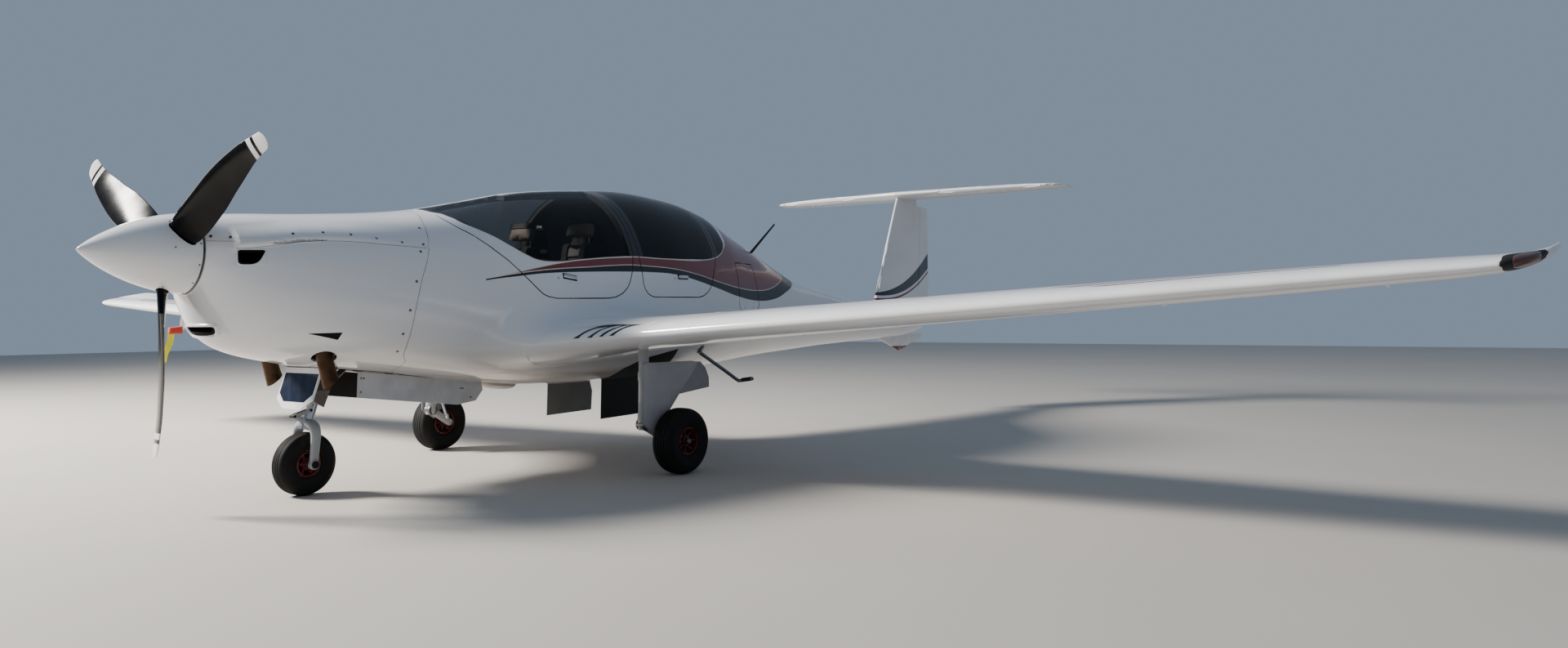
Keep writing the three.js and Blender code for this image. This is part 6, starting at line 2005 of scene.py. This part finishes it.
def panel_fittings():
    """Displays with raised bezels, round dials and their rims on the panel's rear face."""
    down = unit(on_face(0, 1) - on_face(0, 0))
    side = np.array([-1.0, 0.0, 0.0])
    shapes = []
    for across, share, wide, high in DISPLAYS["rows"]:
        box = np.array([(-wide, -high), (wide, -high), (wide, high), (-wide, high)]) / 2
        bezel = plate(box, on_face(across, share, 0.0006), side, -down, 0.007, 0.012)
        glass = plate(box * (0.88, 0.84), on_face(across, share, 0.0074), side, -down, 0.0015, 0.006, 0.0006)
        shapes += [bezel, *of_kind(1, glass)]
    out = np.cross(side, -down)
    for across, share, radius in DIALS["rows"]:
        rim = [(0.0005, 0.001), (radius * 0.8, 0.001), (radius, 0.0015), (radius, 0.010),
               (radius * 0.86, 0.0125), (radius * 0.8, 0.008), (0.0005, 0.008)]
        shapes += of_kind(2 if radius > 0.02 else 0, lathe(rim, on_face(across, share), out, 28))
    return shapes


add_piece("panel_fittings", panel_fittings(), (panel_black, screen_glass, dark_steel))

for side, sign in (("left", 1), ("right", -1)):
    x = sign * SEAT_MIDDLE
    boot = bar(in_plane(x, (2.215, 0.7615), (2.215, 0.785)), 0.032, sides=28, square=2.4, count=8)
    stem = bar(in_plane(x, (2.215, 0.786), (2.190, 0.90), (2.225, 0.985)), 0.009, sides=16, count=18)
    grip = bar(in_plane(x, (2.225, 0.986), (2.230, 1.035), (2.215, 1.085)), (0.015, 0.018, 0.020),
               (0.018, 0.021, 0.019), sides=24, square=2.6, edge=0.9)
    add_piece(f"control_stick_{side}", [boot, grip, *of_kind(1, stem)], (panel_black, alloy))
    pedals = []
    for foot in (x - 0.09, x + 0.09):
        pedals.append(bar(in_plane(foot, (1.79, 0.84), (1.80, 0.93)), 0.042, 0.008, sides=28, square=6,
                          count=10))
        pedals += of_kind(1, bar(in_plane(foot, (1.815, 0.7645), (1.80, 0.838)), 0.008, sides=14, count=8))
    add_piece(f"pedals_{side}", pedals, (panel_black, alloy))

levers = []
for x in (-0.018, 0.018):
    levers += of_kind(1, bar(in_plane(x, (2.30, 0.992), (2.27, 1.055)), 0.003, 0.006, sides=14, count=8))
    levers.append(bar(in_plane(x, (2.27, 1.056), (2.262, 1.085)), 0.011, 0.014, square=3, count=10, edge=0.9))
add_piece("engine_levers", levers, (panel_black, alloy))

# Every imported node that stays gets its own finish

STAYING = {
    "cabin_floor": lining_dark,
    "engine": engine_metal,
    "instrument_panel": panel_black,
    "console": panel_black,
}
for node, finish in STAYING.items():
    held = frame["nodes"][node]
    if len(held.material_slots) == 0:
        held.data.materials.append(finish)
    for material_slot in held.material_slots:
        material_slot.material = finish

# Floor and light

FLOOR_SIZE = 60.0


def make_floor():
    """A wide pale floor at the height of the tyres' feet."""
    half = FLOOR_SIZE / 2
    low = cad_box[0][2] - 0.001
    points = np.array([(-half, -half, low), (half, -half, low), (half, half, low), (-half, half, low)])
    mesh = make_mesh("floor", points, np.array([[0, 1, 2, 3]]))
    pale = Finish("pale_floor", (0.47, 0.44, 0.40), 0.8)
    cloud = pale.noise(0.5, 4.0)
    pale.feed(base_color=pale.mix(cloud, (0.44, 0.41, 0.375), (0.50, 0.47, 0.43)))
    mesh.materials.append(pale.material)
    add_object("floor", mesh)


def make_light(name, place, target, size, power, color):
    data = bpy.data.lights.new(name, "AREA")
    data.shape, data.size, data.size_y = "RECTANGLE", size[0], size[1]
    data.energy, data.color = power, color
    light = bpy.data.objects.new(name, data)
    light.location = place
    light.rotation_euler = (Vector(target) - Vector(place)).to_track_quat("-Z", "Y").to_euler()
    bpy.context.scene.collection.objects.link(light)


make_floor()
make_light("high_front_right", (-9.0, -8.2, 8.0), (0, 0, 0.8), (3.0, 3.0), 6200, (1.0, 0.96, 0.90))
world = bpy.data.worlds.new("soft_room")
bpy.context.scene.world = world
world.use_nodes = True
background = world.node_tree.nodes["Background"]
background.inputs["Color"].default_value = (0.60, 0.76, 1.0, 1)
background.inputs["Strength"].default_value = 0.36
